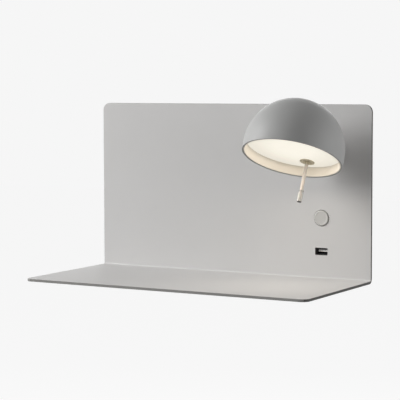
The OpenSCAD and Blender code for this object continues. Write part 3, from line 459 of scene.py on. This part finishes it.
def piece(name: str, bm: Solid, finish: Finish, body: Body,
          replaces: Sequence[str] = (), sharp: float = 40.0) -> bpy.types.Object:
    """Turns a bmesh in millimetres into a piece of the lamp.

    Args:
        name: Name of the piece.
        bm: Its mesh in the part's frame, in millimetres; it is freed.
        finish: Its finish.
        body: The body that it rides on.
        replaces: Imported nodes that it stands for.
        sharp: Edges that turn more than this many degrees stay crisp.

    Returns:
        The object, at the origin, with its place in its mesh.
    """
    bmesh.ops.scale(bm, vec=(MM,) * 3, verts=bm.verts)
    limit = math.radians(sharp)
    for face in bm.faces:
        face.smooth = True
    for edge in bm.edges:
        edge.smooth = len(edge.link_faces) == 2 and edge.calc_face_angle(0.0) < limit
    mesh = bpy.data.meshes.new(name)
    bm.to_mesh(mesh)
    bm.free()
    mesh.materials.append(finish.make())
    obj = shown(name, mesh)
    weighted = obj.modifiers.new("even_normals", "WEIGHTED_NORMAL")
    weighted.keep_sharp = True
    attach(obj, body.value)
    if replaces:
        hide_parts(*replaces)
    LOG.info("%s: %d faces, rides on %s", name, len(mesh.polygons), body.value)
    return obj


def dress(finish: Finish, *nodes: str) -> None:
    """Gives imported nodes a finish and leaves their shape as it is.

    Args:
        finish: The finish.
        nodes: Names of the nodes.
    """
    for node in nodes:
        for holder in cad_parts[node].material_slots:
            holder.material = finish.make()
        LOG.info("%s: dressed in %s", node, finish.name)


@dataclass
class ShelfSheet:
    """The folded sheet that makes the back panel and the shelf, with the studs on its rear.

    Attributes:
        width: Width of the sheet.
        top, shelf: Heights of the panel's top edge and of the shelf's top face.
        rear: Distance of the panel's rear face from the wall.
        sheet: Thickness.
        depth: Depth of the shelf in front of the panel.
        corner: Radius of the free corners.
        fold, inside: Inner radius of the fold, which sets the outer one; the same under paint.
        edge, hole_edge: Rounding of the cut edges and of the holes.
        lamp_x: X of the stem, button and socket.
        stem_y, button_y, socket_y: Their heights.
        bush_hole, button_hole, socket: Diameters of the round holes; size of the socket's.
        past: How far a cutter runs past the sheet.
        stud, small_stud: Diameter, length and pitch of the two kinds of stud.
        sunk: How far they run into the sheet.
        studs, small_studs: Their places.
        cut_lean: A face that faces the same way as the sheet by less than this is a cut edge.
        fold_lean: A face in the fold that faces sideways by more than this is one.
        shaded_side_lean: A cut edge that faces sideways by more than this gets the sides' darker painted
            shade.
    """

    width: float = 360.0
    top: float = 100.0
    shelf: float = -100.0
    rear: float = 22.0
    sheet: float = 3.0
    depth: float = 168.0
    corner: float = 9.0
    fold: float = 3.0
    edge: float = 0.4
    inside: float = 1.8
    hole_edge: float = 0.25
    lamp_x: float = 118.0
    stem_y: float = 51.6
    button_y: float = -30.6
    button_hole: float = 18.8
    bush_hole: float = 16.2
    socket_y: float = -69.3
    socket: tuple[float, float] = (15.5, 8.3)
    past: float = 1.0
    stud: tuple[float, float, float] = (4.0, 7.6, 0.7)
    small_stud: tuple[float, float, float] = (3.0, 5.6, 0.5)
    sunk: float = 0.1
    studs: Outline = tuple((x, y) for x in (-150.0, 0.0, 150.0) for y in (-70.0, 70.0))
    small_studs: Outline = ((-152.0, 35.0), (-24.0, 35.0), (97.0, -57.5), (139.0, -57.5),
                            (103.6, -30.6), (132.4, -30.6))
    cut_lean: float = 0.93
    fold_lean: float = 0.8
    shaded_side_lean: float = 0.6

    def section(self) -> list[tuple[float, float]]:
        """Draws the folded sheet's section as (y, z) points, from the panel's top round to its rear."""

        def arc(inset: float, radius: float) -> Outline:
            """Draws a quarter circle whose centre is set in from the sheet's inner corner."""
            return [(-(front + inset) + radius * math.cos(a), self.shelf + inset - radius * math.sin(a))
                    for a in quarter(16)]

        front = self.rear + self.sheet
        end = -(front + self.depth)
        return [(-front, self.top), *arc(self.inside, self.inside), (end, self.shelf),
                (end, self.shelf - self.sheet), *arc(self.fold, self.fold + self.sheet)[::-1],
                (-self.rear, self.top)]

    def build(self) -> None:
        """Makes the sheet with its rounded corners, holes, softened edges and painted shade on its cut
        edges, then its studs.
        """
        bm = bmesh.new()
        loop = [bm.verts.new((-self.width / 2, y, z)) for y, z in self.section()]
        side = bm.faces.new(loop)
        pulled = bmesh.ops.extrude_face_region(bm, geom=[side])
        moving = [v for v in pulled["geom"] if isinstance(v, bmesh.types.BMVert)]
        bmesh.ops.translate(bm, vec=(self.width, 0, 0), verts=moving)
        bmesh.ops.recalc_face_normals(bm, faces=bm.faces)
        front_end = -(self.rear + self.sheet + self.depth)
        corners = [e for e in bm.edges if self._is_corner(e, front_end)]
        bmesh.ops.bevel(bm, geom=corners, offset=self.corner, offset_type="OFFSET", affect="EDGES",
                        segments=18, profile=0.5, material=-1)
        soften(bm, self.edge, 5, 50)
        out = self.rear - self.past
        deep = self.sheet + 2 * self.past
        cutters = ((rod(self.button_hole, deep, 96), self.button_y),
                   (rod(self.bush_hole, deep, 96), self.stem_y),
                   (bar(*self.socket, deep, 0.6), self.socket_y))
        holes = [moved(cutter, at_wall(self.lamp_x, y, out)) for cutter, y in cutters]
        sheet = clean(carved(bm, holes))
        bmesh.ops.dissolve_limit(sheet, angle_limit=math.radians(0.5), verts=sheet.verts, edges=sheet.edges)
        soften(sheet, self.hole_edge, 3, 50)
        folded = piece("folded_sheet", sheet, PANEL_PAINT, Body.BASE, ["shelf_panel"], 60)
        folded.data.materials.append(EDGE_PAINTED_SHADE.make())
        folded.data.materials.append(SIDE_PAINTED_SHADE.make())
        # Cut edges and hole walls get painted shade; those that face sideways get a darker painted shade.
        for face in folded.data.polygons:
            if self._is_cut(face.center / MM, face.normal):
                face.material_index = 2 if abs(face.normal.x) > self.shaded_side_lean else 1
        studs = [moved(threaded(*kind), at_wall(x, y, self.rear - kind[1] + self.sunk))
                 for kind, places in ((self.stud, self.studs), (self.small_stud, self.small_studs))
                 for x, y in places]
        piece("welded_studs", joined(studs), ZINC, Body.BASE, sharp=50)

    def _is_cut(self, centre: Vector, normal: Vector) -> bool:
        """Tells whether a face is the sheet's narrow cut edge or a hole's wall, which get painted shade."""
        if centre.y < -(self.rear + self.sheet + self.fold):
            return abs(normal.z) < self.cut_lean
        if centre.z > self.shelf + self.fold:
            return abs(normal.y) < self.cut_lean
        return abs(normal.x) > self.fold_lean

    def _is_corner(self, edge: bmesh.types.BMEdge, front_end: float) -> bool:
        """Tells whether an edge is one of the four that get the corner radius."""
        a, b = (v.co for v in edge.verts)
        if abs(a.x - b.x) > 1e-3:
            return False
        at_top = abs(a.z - self.top) < 1e-3 and abs(b.z - self.top) < 1e-3
        at_front = abs(a.y - front_end) < 1e-3 and abs(b.y - front_end) < 1e-3
        return at_top or at_front


def threaded(diameter: float, length: float, pitch: float, steps: int = 24) -> Solid:
    """Makes a stud with the look of a rolled thread and a small chamfer at its free end.

    Args:
        diameter: Outer diameter.
        length: Length; the free end is at z = 0.
        pitch: Distance between crests.
        steps: Facets round the stud.

    Returns:
        The stud.
    """
    crest, root = diameter / 2, diameter / 2 - 0.5 * pitch
    outline: list[tuple[float, float]] = [(0.0, 0.0), (root, 0.0)]
    height = 0.5 * pitch
    while height + pitch < length - 0.6:
        outline += [(crest, height), (crest, height + 0.15 * pitch), (root, height + 0.55 * pitch),
                    (root, height + 0.65 * pitch)]
        height += pitch
    outline += [(crest, height), (crest, length), (0.0, length)]
    return turned(outline, steps)


@dataclass(frozen=True)
class HeadLight:
    """One disc of warm light under the diffuser, in the head's own frame.

    Attributes:
        name, watts: Name and power.
        forward: How far its centre lies from the shade's axis, away from the wall.
        below: How far it lies under the diffuser.
        width, spread: Diameter of the disc; opening angle of its beam, in degrees.
        colour: Linear colour.
    """

    name: str
    forward: float
    below: float
    width: float
    spread: float
    watts: float
    colour: Colour = paint(255, 243, 226)

    def build(self, head: Matrix) -> None:
        """Adds the light in the head's own frame, in millimetres, and lets it ride on the head."""
        data = bpy.data.lights.new(self.name, "AREA")
        data.shape = "DISK"
        data.size = self.width * MM
        data.spread = math.radians(self.spread)
        data.energy = self.watts
        data.color = self.colour
        light = shown(self.name, data)
        place = head @ Matrix.Translation((0, -self.forward, -self.below))
        place.translation *= MM
        light.matrix_world = place
        light.visible_camera = light.visible_glossy = False
        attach(light, Body.HEAD.value)


@dataclass
class LampHead:
    """The dome shade with its light, as it leans at rest.

    Attributes:
        pivot: The tilt pivot: x, distance from the wall, height.
        lean: Lean of the shade, in degrees.
        offset, rise: Distance of the pivot from the shade's axis and from the rim plane.
        radius, wall: Outer radius and thickness of the dome.
        skirt, rim_edge: Height of the straight skirt; rounding of the rim.
        diffuser, diffuser_gap: Thickness of the diffuser; gap round it.
        handle_hole: Diameter of its hole for the handle.
        ring_wall, ring_step: Thickness of the cream skirt; how far it stays above the rim.
        tilt: Tilt each way from rest, in degrees.
        stem_d: Diameter of the stem.
        slot_width, slot_ease: Width of its slot; room at each end.
        slot_start: Distance of the slot's cutter from the pivot.
        stud, stud_foot: Diameter, length and pitch of the stud; height of its free end.
        lights: Its unseen lights.
    """

    pivot: Point = (118.0, 56.0, 51.6)
    lean: float = 25.0
    offset: float = 37.2
    rise: float = 17.2
    radius: float = 56.4
    wall: float = 1.5
    skirt: float = 11.8
    rim_edge: float = 0.35
    diffuser: float = 2.0
    diffuser_gap: float = 0.3
    handle_hole: float = 12.8
    ring_wall: float = 1.3
    ring_step: float = 0.4
    tilt: float = 35.0
    stem_d: float = 12.0
    slot_width: float = 13.5
    slot_ease: float = 0.9
    slot_start: float = 10.0
    stud: tuple[float, float, float] = (5.0, 45.2, 0.8)
    stud_foot: float = 10.2
    lights: Sequence[HeadLight] = (
        HeadLight("lens_light", 0.0, 0.5, 98.0, 180.0, 0.027),
        HeadLight("pool_light", 8.0, 12.3, 50.0, 180.0, 0.038),
    )

    @property
    def place(self) -> Matrix:
        """The head's own frame: origin at the dome's centre, Z up the shade's axis."""
        x, out, height = self.pivot
        return (Matrix.Translation((x, -out, height)) @ Matrix.Rotation(math.radians(-self.lean), 4, "X")
                @ Matrix.Translation((0, -self.offset, -self.rise)))

    @property
    def inner(self) -> float:
        """Inner radius of the dome."""
        return self.radius - self.wall

    def _limb(self, angle: float, half: float) -> float:
        """Gives the height, in the turned head, at which an edge of the stem leaves the dome."""
        a, lean = math.radians(angle), math.radians(self.lean)
        cx = -self.offset * math.cos(lean) - self.rise * math.sin(lean)
        cy = self.offset * math.sin(lean) - self.rise * math.cos(lean)
        px, py = -half * math.sin(a) - cx, half * math.cos(a) - cy
        b = px * math.cos(a) + py * math.sin(a)
        s = -b + math.sqrt(b * b - (px * px + py * py) + self.radius ** 2)
        return s * math.sin(a) + half * math.cos(a)

    def slot(self) -> Solid:
        """Makes the cutter for the stem's slot, in the head's own frame."""
        high = self._limb(self.tilt, self.stem_d / 2) + self.slot_ease
        low = self._limb(-self.tilt, -self.stem_d / 2) - self.slot_ease
        length = high - low
        cutter = bar(self.slot_width, length, self.radius, self.slot_width / 2 - 0.01, 20)
        turn = (Matrix.Translation((0, self.offset, self.rise))
                @ Matrix.Rotation(math.radians(self.lean), 4, "X")
                @ Matrix.Rotation(math.radians(-90), 4, "X")
                @ Matrix.Translation((0, -(high + low) / 2, self.slot_start)))
        return moved(cutter, turn)

    def add(self, name: str, bm: Solid, finish: Finish, slot: str, *nodes: str) -> None:
        """Adds a piece that is drawn in the head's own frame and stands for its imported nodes."""
        piece(name, moved(bm, self.place), finish, Body.HEAD, nodes, 50)

    def build(self) -> None:
        """Makes the shade, its stud, the diffuser and the cream skirt inside the rim."""
        edge, low = self.rim_edge, -self.skirt
        rim = [(self.radius, low + edge), (self.radius - 0.1, low + 0.1), (self.radius - edge, low),
               (self.inner + edge, low), (self.inner + 0.1, low + 0.1), (self.inner, low + edge)]
        outside, inside = ([(r * math.sin(a), r * math.cos(a)) for a in quarter(40)]
                           for r in (self.radius, self.inner))
        dome = carved(turned(outside + rim + inside[::-1], 144), [self.slot()])
        self.add("spun_shade", dome, SHADE_PAINT, "shade_paint", "shade")
        stud = moved(threaded(*self.stud), Matrix.Translation((0, 0, self.stud_foot)))
        self.add("shade_stud", stud, ZINC, "steel")
        r, t = self.inner - self.diffuser_gap, self.diffuser
        disc = turned([(0, 0.0), (r - 0.4, 0.0), (r - 0.1, 0.1), (r, 0.4), (r, t), (0, t)], 128)
        hole = moved(rod(self.handle_hole, t + 2, 64), Matrix.Translation((0, self.offset, -1.0)))
        self.add("opal_lens", carved(disc, [hole]), OPAL, "opal", "diffuser")
        outer, low = self.inner - 0.05, self.ring_step - self.skirt
        bore = outer + 0.05 - self.ring_wall
        ring = turned([(outer, low + 0.3), (outer - 0.3, low), (bore + 0.4, low), (bore + 0.1, low + 0.12),
                       (bore, low + 0.45), (bore, 0.0), (outer, 0.0)], 144, closed=True)
        self.add("cream_skirt", ring, CREAM, "cream", "diffuser_ring")
        for light in self.lights:
            light.build(self.place)
        dress(WHITE_PAINT, "reflector_pan")
        dress(BOARD, "led_board")
        dress(PHOSPHOR, "led_chips")
        dress(ZINC, "stud_nut", "knuckle_screws")
        dress(BRUSHED, "spacer_tube")
        dress(DARK_ZINC, "head_knuckle")
        dress(LEAD_JACKET, "head_lead")


@dataclass
class Handle:
    """The thin handle that stands in the diffuser.

    Attributes:
        head: The head that it belongs to.
        rod_d, grip_d, bezel_d: Diameters.
        grip_start, grip_l: Distance of the grip from the diffuser; length with the end cap.
        collar: How far the ring at the grip's top stands out.
        bezel_t, spigot, flange: Thickness of the bezel; radius and height of its neck.
        neck_l: Length of the dark neck.
        anchor, screw_l: Height of the rod's upper end; length of its lower end in the grip.
        cap_t: Thickness of the end cap.
        ease: Gap where pieces fit together.
    """

    head: LampHead
    rod_d: float = 4.0
    grip_d: float = 5.6
    grip_start: float = 34.7
    grip_l: float = 13.9
    collar: float = 0.25
    bezel_d: float = 17.0
    bezel_t: float = 0.8
    spigot: float = 6.3
    flange: float = 5.0
    neck_l: float = 3.5
    anchor: float = 12.5
    screw_l: float = 8.0
    cap_t: float = 0.6
    ease: float = 0.05

    @property
    def place(self) -> Matrix:
        """The handle's own frame, on the diffuser's lower face."""
        return self.head.place @ Matrix.Translation((0, self.head.offset, 0))

    def build(self) -> None:
        """Makes the bezel, neck, rod, grip and end cap."""
        r, top, low = self.rod_d / 2, -self.neck_l, -self.grip_start
        neck, bezel, face = r + 0.2, self.bezel_d / 2, -self.bezel_t
        plate = turned([(neck + 0.2, self.flange), (self.spigot, self.flange), (self.spigot, 0.0),
                        (bezel, 0.0), (bezel, -0.35), (bezel - 0.15, -0.65), (bezel - 0.5, face),
                        (neck + 3.0, face), (neck + 2.3, face + 0.15), (neck + 1.2, -0.1),
                        (neck + 0.2, 0.6)], 96, closed=True)
        self._add("olive_bezel", plate, OLIVE, "handle_bezel")
        core = r - 0.5
        bore = core + self.ease
        sleeve = turned([(bore, self.flange), (neck, self.flange), (neck, top + 0.25), (neck - 0.2, top),
                         (bore, top)], 64, closed=True)
        self._add("dark_neck", sleeve, DARK_NECK, "handle_neck")
        end = low - self.screw_l
        shaft = turned([(0, self.anchor), (core, self.anchor), (core, top), (r - 0.15, top), (r, top - 0.2),
                       (r, low + 0.2), (r - 0.15, low), (core, low), (core, end), (0, end)], 64)
        self._add("cream_rod", shaft, CREAM_ROD, "handle_rod")
        g, foot = self.grip_d / 2, low - self.grip_l + self.cap_t
        ring, deep = g + self.collar, end - 0.3
        grip = turned([(0, deep), (bore, deep), (bore, low), (ring - 0.25, low), (ring - 0.05, low - 0.1),
                       (ring, low - 0.3), (ring, low - 0.95), (ring - 0.1, low - 1.1),
                       (g - 0.33, low - 1.25), (g - 0.35, low - 1.4), (g - 0.35, low - 1.9),
                       (g - 0.25, low - 2.05), (g - 0.08, low - 2.2), (g, low - 3.2), (g, foot + 0.25),
                       (g - 0.1, foot), (0, foot)], 64)
        self._add("cream_grip", grip, PALE_GRIP, "handle_grip")
        c, tip = g - 0.2, foot - self.cap_t
        cap = turned([(0, foot), (c, foot), (c, tip + 0.25), (c - 0.15, tip + 0.05), (c - 0.4, tip),
                      (c - 0.9, tip), (c - 1.1, tip + 0.15), (0, tip + 0.15)], 48)
        self._add("grip_cap", cap, TIP_GREY, "handle_tip")

    def _add(self, name: str, bm: Solid, finish: Finish, node: str) -> None:
        """Puts one turned piece in the handle's place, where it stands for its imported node."""
        piece(name, moved(bm, self.place), finish, Body.HEAD, [node])


@dataclass
class ButtonUnit:
    """The push button and the switch behind it.

    Attributes:
        x, height: Place of its axis.
        diameter, front: Diameter of the cap; distance of its front from the wall.
        rounding, sunk: Radius of its front edge; how far its face is sunk.
        roof, wall, skirt: Thickness of its front and skirt; length of the skirt.
        plunger_r, plunger_end: Radius of the plunger; distance of its end from the wall.
        spring_foot, spring_length: Distance of the spring's foot from the wall; its length; not used.
        travel: How far a press shortens the spring; not used.
    """

    x: float = 118.0
    height: float = -30.6
    diameter: float = 18.0
    front: float = 26.2
    rounding: float = 1.15
    sunk: float = 0.2
    roof: float = 1.6
    wall: float = 1.2
    skirt: float = 6.7
    plunger_r: float = 3.0
    plunger_end: float = 9.0
    spring_foot: float = 12.0
    spring_length: float = 12.6
    travel: float = 1.02

    def build(self) -> None:
        """Makes the cap with its edge ring and sunken face, and the spring that it presses."""
        r, z, e = self.diameter / 2, self.front, self.rounding
        p, end, inner = self.plunger_r, self.plunger_end, r - self.wall
        edge = [(r - e + e * math.cos(a), z - e + e * math.sin(a)) for a in quarter(8)]
        face = [(r - 1.9, z), (r - 2.1, z - 0.05), (r - 2.3, z - 0.16), (r - 2.5, z - self.sunk),
                (0, z - self.sunk)]
        cap = turned([(0, end), (p - 0.3, end), (p, end + 0.3), (p, z - self.roof), (inner, z - self.roof),
                      (inner, z - self.skirt), (r, z - self.skirt)] + edge + face, 128)
        piece("button_cap", moved(cap, at_wall(self.x, self.height)), BUTTON_PAINT, Body.BUTTON,
              ["push_button"])
        spring = piece("return_spring", refined("button_spring", 0.1), ZINC, Body.BASE,
                       ["button_spring"], 50)
        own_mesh(spring)
        dress(ZINC, "button_clip")
        dress(BLACK_PLASTIC, "switch_holder", "micro_switch")
        dress(RED_JACKET, "switch_lead")


@dataclass
class ChargingSocket:
    """The charging socket behind its opening.

    Attributes:
        x, height: Place of its axis.
        width, tall, sheet: Outer size of the shell; thickness of its sheet.
        front, length, back: Distance of its front from the wall; length; thickness at the back.
        plate_front: Distance of the tongue's plate from the wall.
        corner, corner_inside: Outer and inner radius of its corners.
        spring_slot: Width and length of the slots beside its springs.
        spring_x, spring_half: Distance of the springs from the middle; half their width.
        seam: Width of its seam.
    """

    x: float = 118.0
    height: float = -69.7
    width: float = 13.1
    tall: float = 5.7
    sheet: float = 0.3
    front: float = 20.8
    length: float = 13.0
    back: float = 2.0
    plate_front: float = 11.85
    corner: float = 0.55
    corner_inside: float = 0.35
    spring_slot: tuple[float, float] = (0.35, 5.5)
    spring_x: float = 3.1
    spring_half: float = 1.3
    seam: float = 0.12

    def build(self) -> None:
        """Makes the folded metal shell with its seam and springs, darkened as painted shade, then the
        tongue on its dark plate, lifted by painted light.
        """
        outer = bar(self.width, self.tall, self.length, self.corner, 5)
        walls = 2 * self.sheet
        inside = bar(self.width - walls, self.tall - walls, self.length, self.corner_inside, 5)
        hollow = moved(inside, Matrix.Translation((0, 0, self.back)))
        slot_w, slot_l = self.spring_slot
        slots = [moved(bar(slot_w, 1.0, slot_l),
                       Matrix.Translation((x + s * self.spring_half, y * self.tall / 2, slot_l)))
                 for x in (-self.spring_x, self.spring_x) for s in (-1, 1) for y in (-1, 1)]
        seam = moved(bar(self.seam, 1.0, self.length), Matrix.Translation((0.0, -self.tall / 2, 0)))
        shell = moved(carved(outer, [hollow, seam, *slots]),
                      at_wall(self.x, self.height, self.front - self.length))
        piece("socket_shell", shell, SHELL_STEEL_PAINTED_SHADE, Body.BASE, ["usb_shell"])
        dress(BLACK_PLASTIC, "usb_module")
        # The tongue's glow is painted light; its plate behind stays black plastic.
        tongue = piece("socket_tongue", refined("usb_tongue", 0.08), TONGUE_PAINTED_LIGHT, Body.BASE,
                       ["usb_tongue"])
        tongue.data.materials.append(BLACK_PLASTIC.make())
        for face in tongue.data.polygons:
            face.material_index = int(-face.center.y / MM < self.plate_front)
        dress(BRASS, "usb_contacts")
        dress(ZINC, "module_nuts")
        dress(LEAD_JACKET, "usb_lead")


@dataclass
class StemJoint:
    """The stem, its bush and the swivel and tilt hardware.

    Attributes:
        x, height: Place of the stem.
        bore, body, flange: Radii of the bush, the last one of its flange.
        rear, seat, front: Distances of its rear, the panel's front and its front from the wall.
    """

    x: float = 118.0
    height: float = 51.6
    bore: float = 6.05
    body: float = 8.0
    flange: float = 12.0
    rear: float = 18.5
    seat: float = 25.0
    front: float = 27.0

    def build(self) -> None:
        """Makes the bush with a rounded flange and dresses the joint."""
        front, flange = self.front, self.flange
        bush = turned([(self.bore, self.rear), (self.body, self.rear), (self.body, self.seat),
                       (flange, self.seat), (flange, front - 0.7), (flange - 0.15, front - 0.3),
                       (flange - 0.6, front), (self.bore + 0.45, front), (self.bore, front - 0.4)],
                      96, closed=True)
        piece("stem_bushing", moved(bush, at_wall(self.x, self.height)), WHITE_PLASTIC, Body.BASE,
              ["stem_bush"])
        piece("stem_fork", refined("stem", 0.25), BRUSHED, Body.ARM, ["stem"])
        piece("collar_ring", refined("stem_collar", 0.35), BRUSHED, Body.ARM, ["stem_collar"])
        dress(DARK_ZINC, "hinge_pin", "hinge_nut", "stem_nut", "bush_nut", "collar_screw")
        dress(ZINC, "stop_washer", "stop_post")
        dress(BLACK_PLASTIC, "stem_washers", "friction_washers")
        dress(LEAD_JACKET, "stem_lead")


@dataclass
class WallSide:
    """The housing, the wall bracket and the electrics behind the panel."""

    def build(self) -> None:
        """Rounds the housing and the bracket and dresses the electrics."""
        piece("housing_frame", refined("rear_housing", 0.3), HOUSING_PAINT, Body.BASE,
              ["rear_housing"], 50)
        piece("bracket_plate", refined("wall_bracket", 0.3), ZINC, Body.BASE, ["wall_bracket"], 50)
        dress(ZINC, "housing_nuts", "lock_screws", "driver_nuts", "holder_nuts")
        dress(RUBBER, "cable_grommet")
        dress(WHITE_PLASTIC, "terminal_block")
        dress(BRASS, "earth_terminal")
        dress(DRIVER_CASE, "led_driver")
        dress(LEAD_JACKET, "mains_lead", "driver_lead")
        dress(EARTH_JACKET, "earth_lead")


@dataclass(frozen=True)
class PhotoCamera:
    """The camera at the photograph's place.

    Attributes:
        place: Its place, in millimetres.
        yaw, pitch, roll: Turn to the left, lean downwards and roll, in degrees.
        focal_px, frame_px: Focal length and frame width, in the photograph's pixels.
        sensor: Width of the sensor, in millimetres.
    """

    place: Point = (867.115, -1620.806, 125.922)
    yaw: float = 29.686
    pitch: float = 4.405
    roll: float = -0.119
    focal_px: float = 1535.38
    frame_px: float = 400.0
    sensor: float = 36.0

    def build(self) -> None:
        """Sets the scene's camera."""
        yaw, pitch, roll = (math.radians(a) for a in (self.yaw, self.pitch, self.roll))
        flat = math.cos(pitch)
        ahead = Vector((-math.sin(yaw) * flat, math.cos(yaw) * flat, -math.sin(pitch)))
        level = Vector((math.cos(yaw), math.sin(yaw), 0.0))
        above = level.cross(ahead)
        right = math.cos(roll) * level + math.sin(roll) * above
        up = -math.sin(roll) * level + math.cos(roll) * above
        data = bpy.data.cameras.new("photo_camera")
        data.sensor_fit = "HORIZONTAL"
        data.sensor_width = self.sensor
        data.lens = self.sensor * self.focal_px / self.frame_px
        camera = shown("photo_camera", data)
        turn = Matrix((right, up, -ahead)).transposed().to_4x4()
        camera.matrix_world = Matrix.Translation(Vector(self.place) * MM) @ turn
        bpy.context.scene.camera = camera


@dataclass(frozen=True)
class SoftLamp:
    """One square soft lamp of the studio, in metres and watts.

    Attributes:
        name, place: Its name and place.
        size, power: Length of its side; power.
        aim: The point that it faces.
    """

    name: str
    place: Point
    size: float
    power: float
    aim: Point = (0.0, -0.05, 0.0)

    def build(self) -> None:
        """Adds the lamp to the scene."""
        data = bpy.data.lights.new(self.name, "AREA")
        data.shape = "SQUARE"
        data.size = self.size
        data.energy = self.power
        light = shown(self.name, data)
        towards = Vector(self.aim) - Vector(self.place)
        light.rotation_euler = towards.to_track_quat("-Z", "Y").to_euler()
        light.location = self.place


@dataclass
class Studio:
    """The pale floor, the soft lamps and the pale surround.

    Attributes:
        pale: Level of the surround as it is seen.
        above, below: Levels of its light from above and from below.
        blend: Upward share of a direction where below ends and above starts.
        floor_z, floor_half: Height and half the width of the floor, in metres.
        floor_matt: Lightness of its matt part.
        floor_flat, floor_glow: Share of it that is seen as flat pale; level of that pale.
        lamps: The soft lamps.
    """

    pale: float = 0.922
    above: float = 0.15
    below: float = 0.1
    blend: tuple[float, float] = (-0.4, 0.6)
    floor_z: float = -0.75
    floor_half: float = 9.0
    floor_matt: float = 0.4
    floor_flat: float = 0.85
    floor_glow: float = 1.074
    lamps: Sequence[SoftLamp] = (
        SoftLamp("key_high", (-2.4, -1.1, 1.3), 1.2, 51.5),
        SoftLamp("key_left", (-3.0, -1.45, 0.85), 1.5, 20.0),
        SoftLamp("near_left", (-1.7, -1.25, 0.75), 0.9, 15.0),
        SoftLamp("low_left", (-1.5, -0.9, 0.1), 0.6, 5.2),
        SoftLamp("side_right", (2.2, -0.35, 0.1), 0.8, 12.0),
        SoftLamp("rim_right", (1.9, 0.9, 0.6), 0.8, 9.3),
        SoftLamp("back_soft", (-0.9, 2.2, 0.7), 1.2, 14.0),
    )

    def build(self) -> None:
        """Makes the surround, the floor and the lamps."""
        world = bpy.data.worlds.new("studio_surround")
        world.use_nodes = True
        bpy.context.scene.world = world
        tree = world.node_tree
        tree.nodes.clear()
        place = wired(tree, "TexCoord")
        split = wired(tree, "SeparateXYZ", {0: place.outputs["Generated"]})
        rise = wired(tree, "MapRange", {
            "From Min": self.blend[0], "From Max": self.blend[1], "To Min": self.below,
            "To Max": self.above, "Value": split.outputs["Z"]})
        light = wired(tree, "Background", {"Strength": rise.outputs["Result"]})
        seen = wired(tree, "Background", {"Color": (self.pale,) * 3 + (1.0,)})
        mix = wired(tree, "MixShader", {
            "Fac": self._seen(tree), 1: light.outputs[0], 2: seen.outputs[0]})
        wired(tree, "OutputWorld", {"Surface": mix.outputs[0]})
        self._floor()
        for lamp in self.lamps:
            lamp.build()

    def _seen(self, tree: Tree) -> Socket:
        """Gives an output that is 1 for camera, glossy and transmission rays, and 0 for others."""
        path = wired(tree, "LightPath").outputs
        first = wired(tree, "Math", {0: path["Is Camera Ray"], 1: path["Is Glossy Ray"]})
        second = wired(tree, "Math", {0: first.outputs[0], 1: path["Is Transmission Ray"]})
        first.operation = second.operation = "MAXIMUM"
        return second.outputs[0]

    def _floor(self) -> None:
        """Lays the pale floor under the lamp, far enough down to stay out of the photograph."""
        bm = bmesh.new()
        bmesh.ops.create_grid(bm, x_segments=2, y_segments=2, size=self.floor_half)
        bmesh.ops.translate(bm, vec=(0, 0, self.floor_z), verts=bm.verts)
        mesh = bpy.data.meshes.new("studio_floor")
        bm.to_mesh(mesh)
        bm.free()
        material = bpy.data.materials.new("studio_floor")
        material.use_nodes = True
        tree = material.node_tree
        tree.nodes.clear()
        matt = wired(tree, "BsdfDiffuse", {"Color": (self.floor_matt,) * 3 + (1.0,)})
        flat = wired(tree, "Emission", {"Color": (1.0,) * 4, "Strength": self.floor_glow})
        share = wired(tree, "Math", {0: self._seen(tree), 1: self.floor_flat})
        share.operation = "MULTIPLY"
        mix = wired(tree, "MixShader", {
            "Fac": share.outputs[0], 1: matt.outputs[0], 2: flat.outputs[0]})
        wired(tree, "OutputMaterial", {"Surface": mix.outputs[0]})
        mesh.materials.append(material)
        floor = shown("studio_floor", mesh)


def main() -> None:
    """Builds the lamp, its studio and its camera."""
    logging.basicConfig(level=logging.INFO, format="%(name)s: %(message)s")
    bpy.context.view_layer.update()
    PhotoCamera().build()
    Studio().build()
    head = LampHead()
    for part in (ShelfSheet(), WallSide(), StemJoint(), ButtonUnit(), ChargingSocket(), head, Handle(head)):
        part.build()
        LOG.info("%s is done", type(part).__name__)
    bpy.context.scene.view_settings.view_transform = "Standard"


if __name__ == "__main__":
    main()
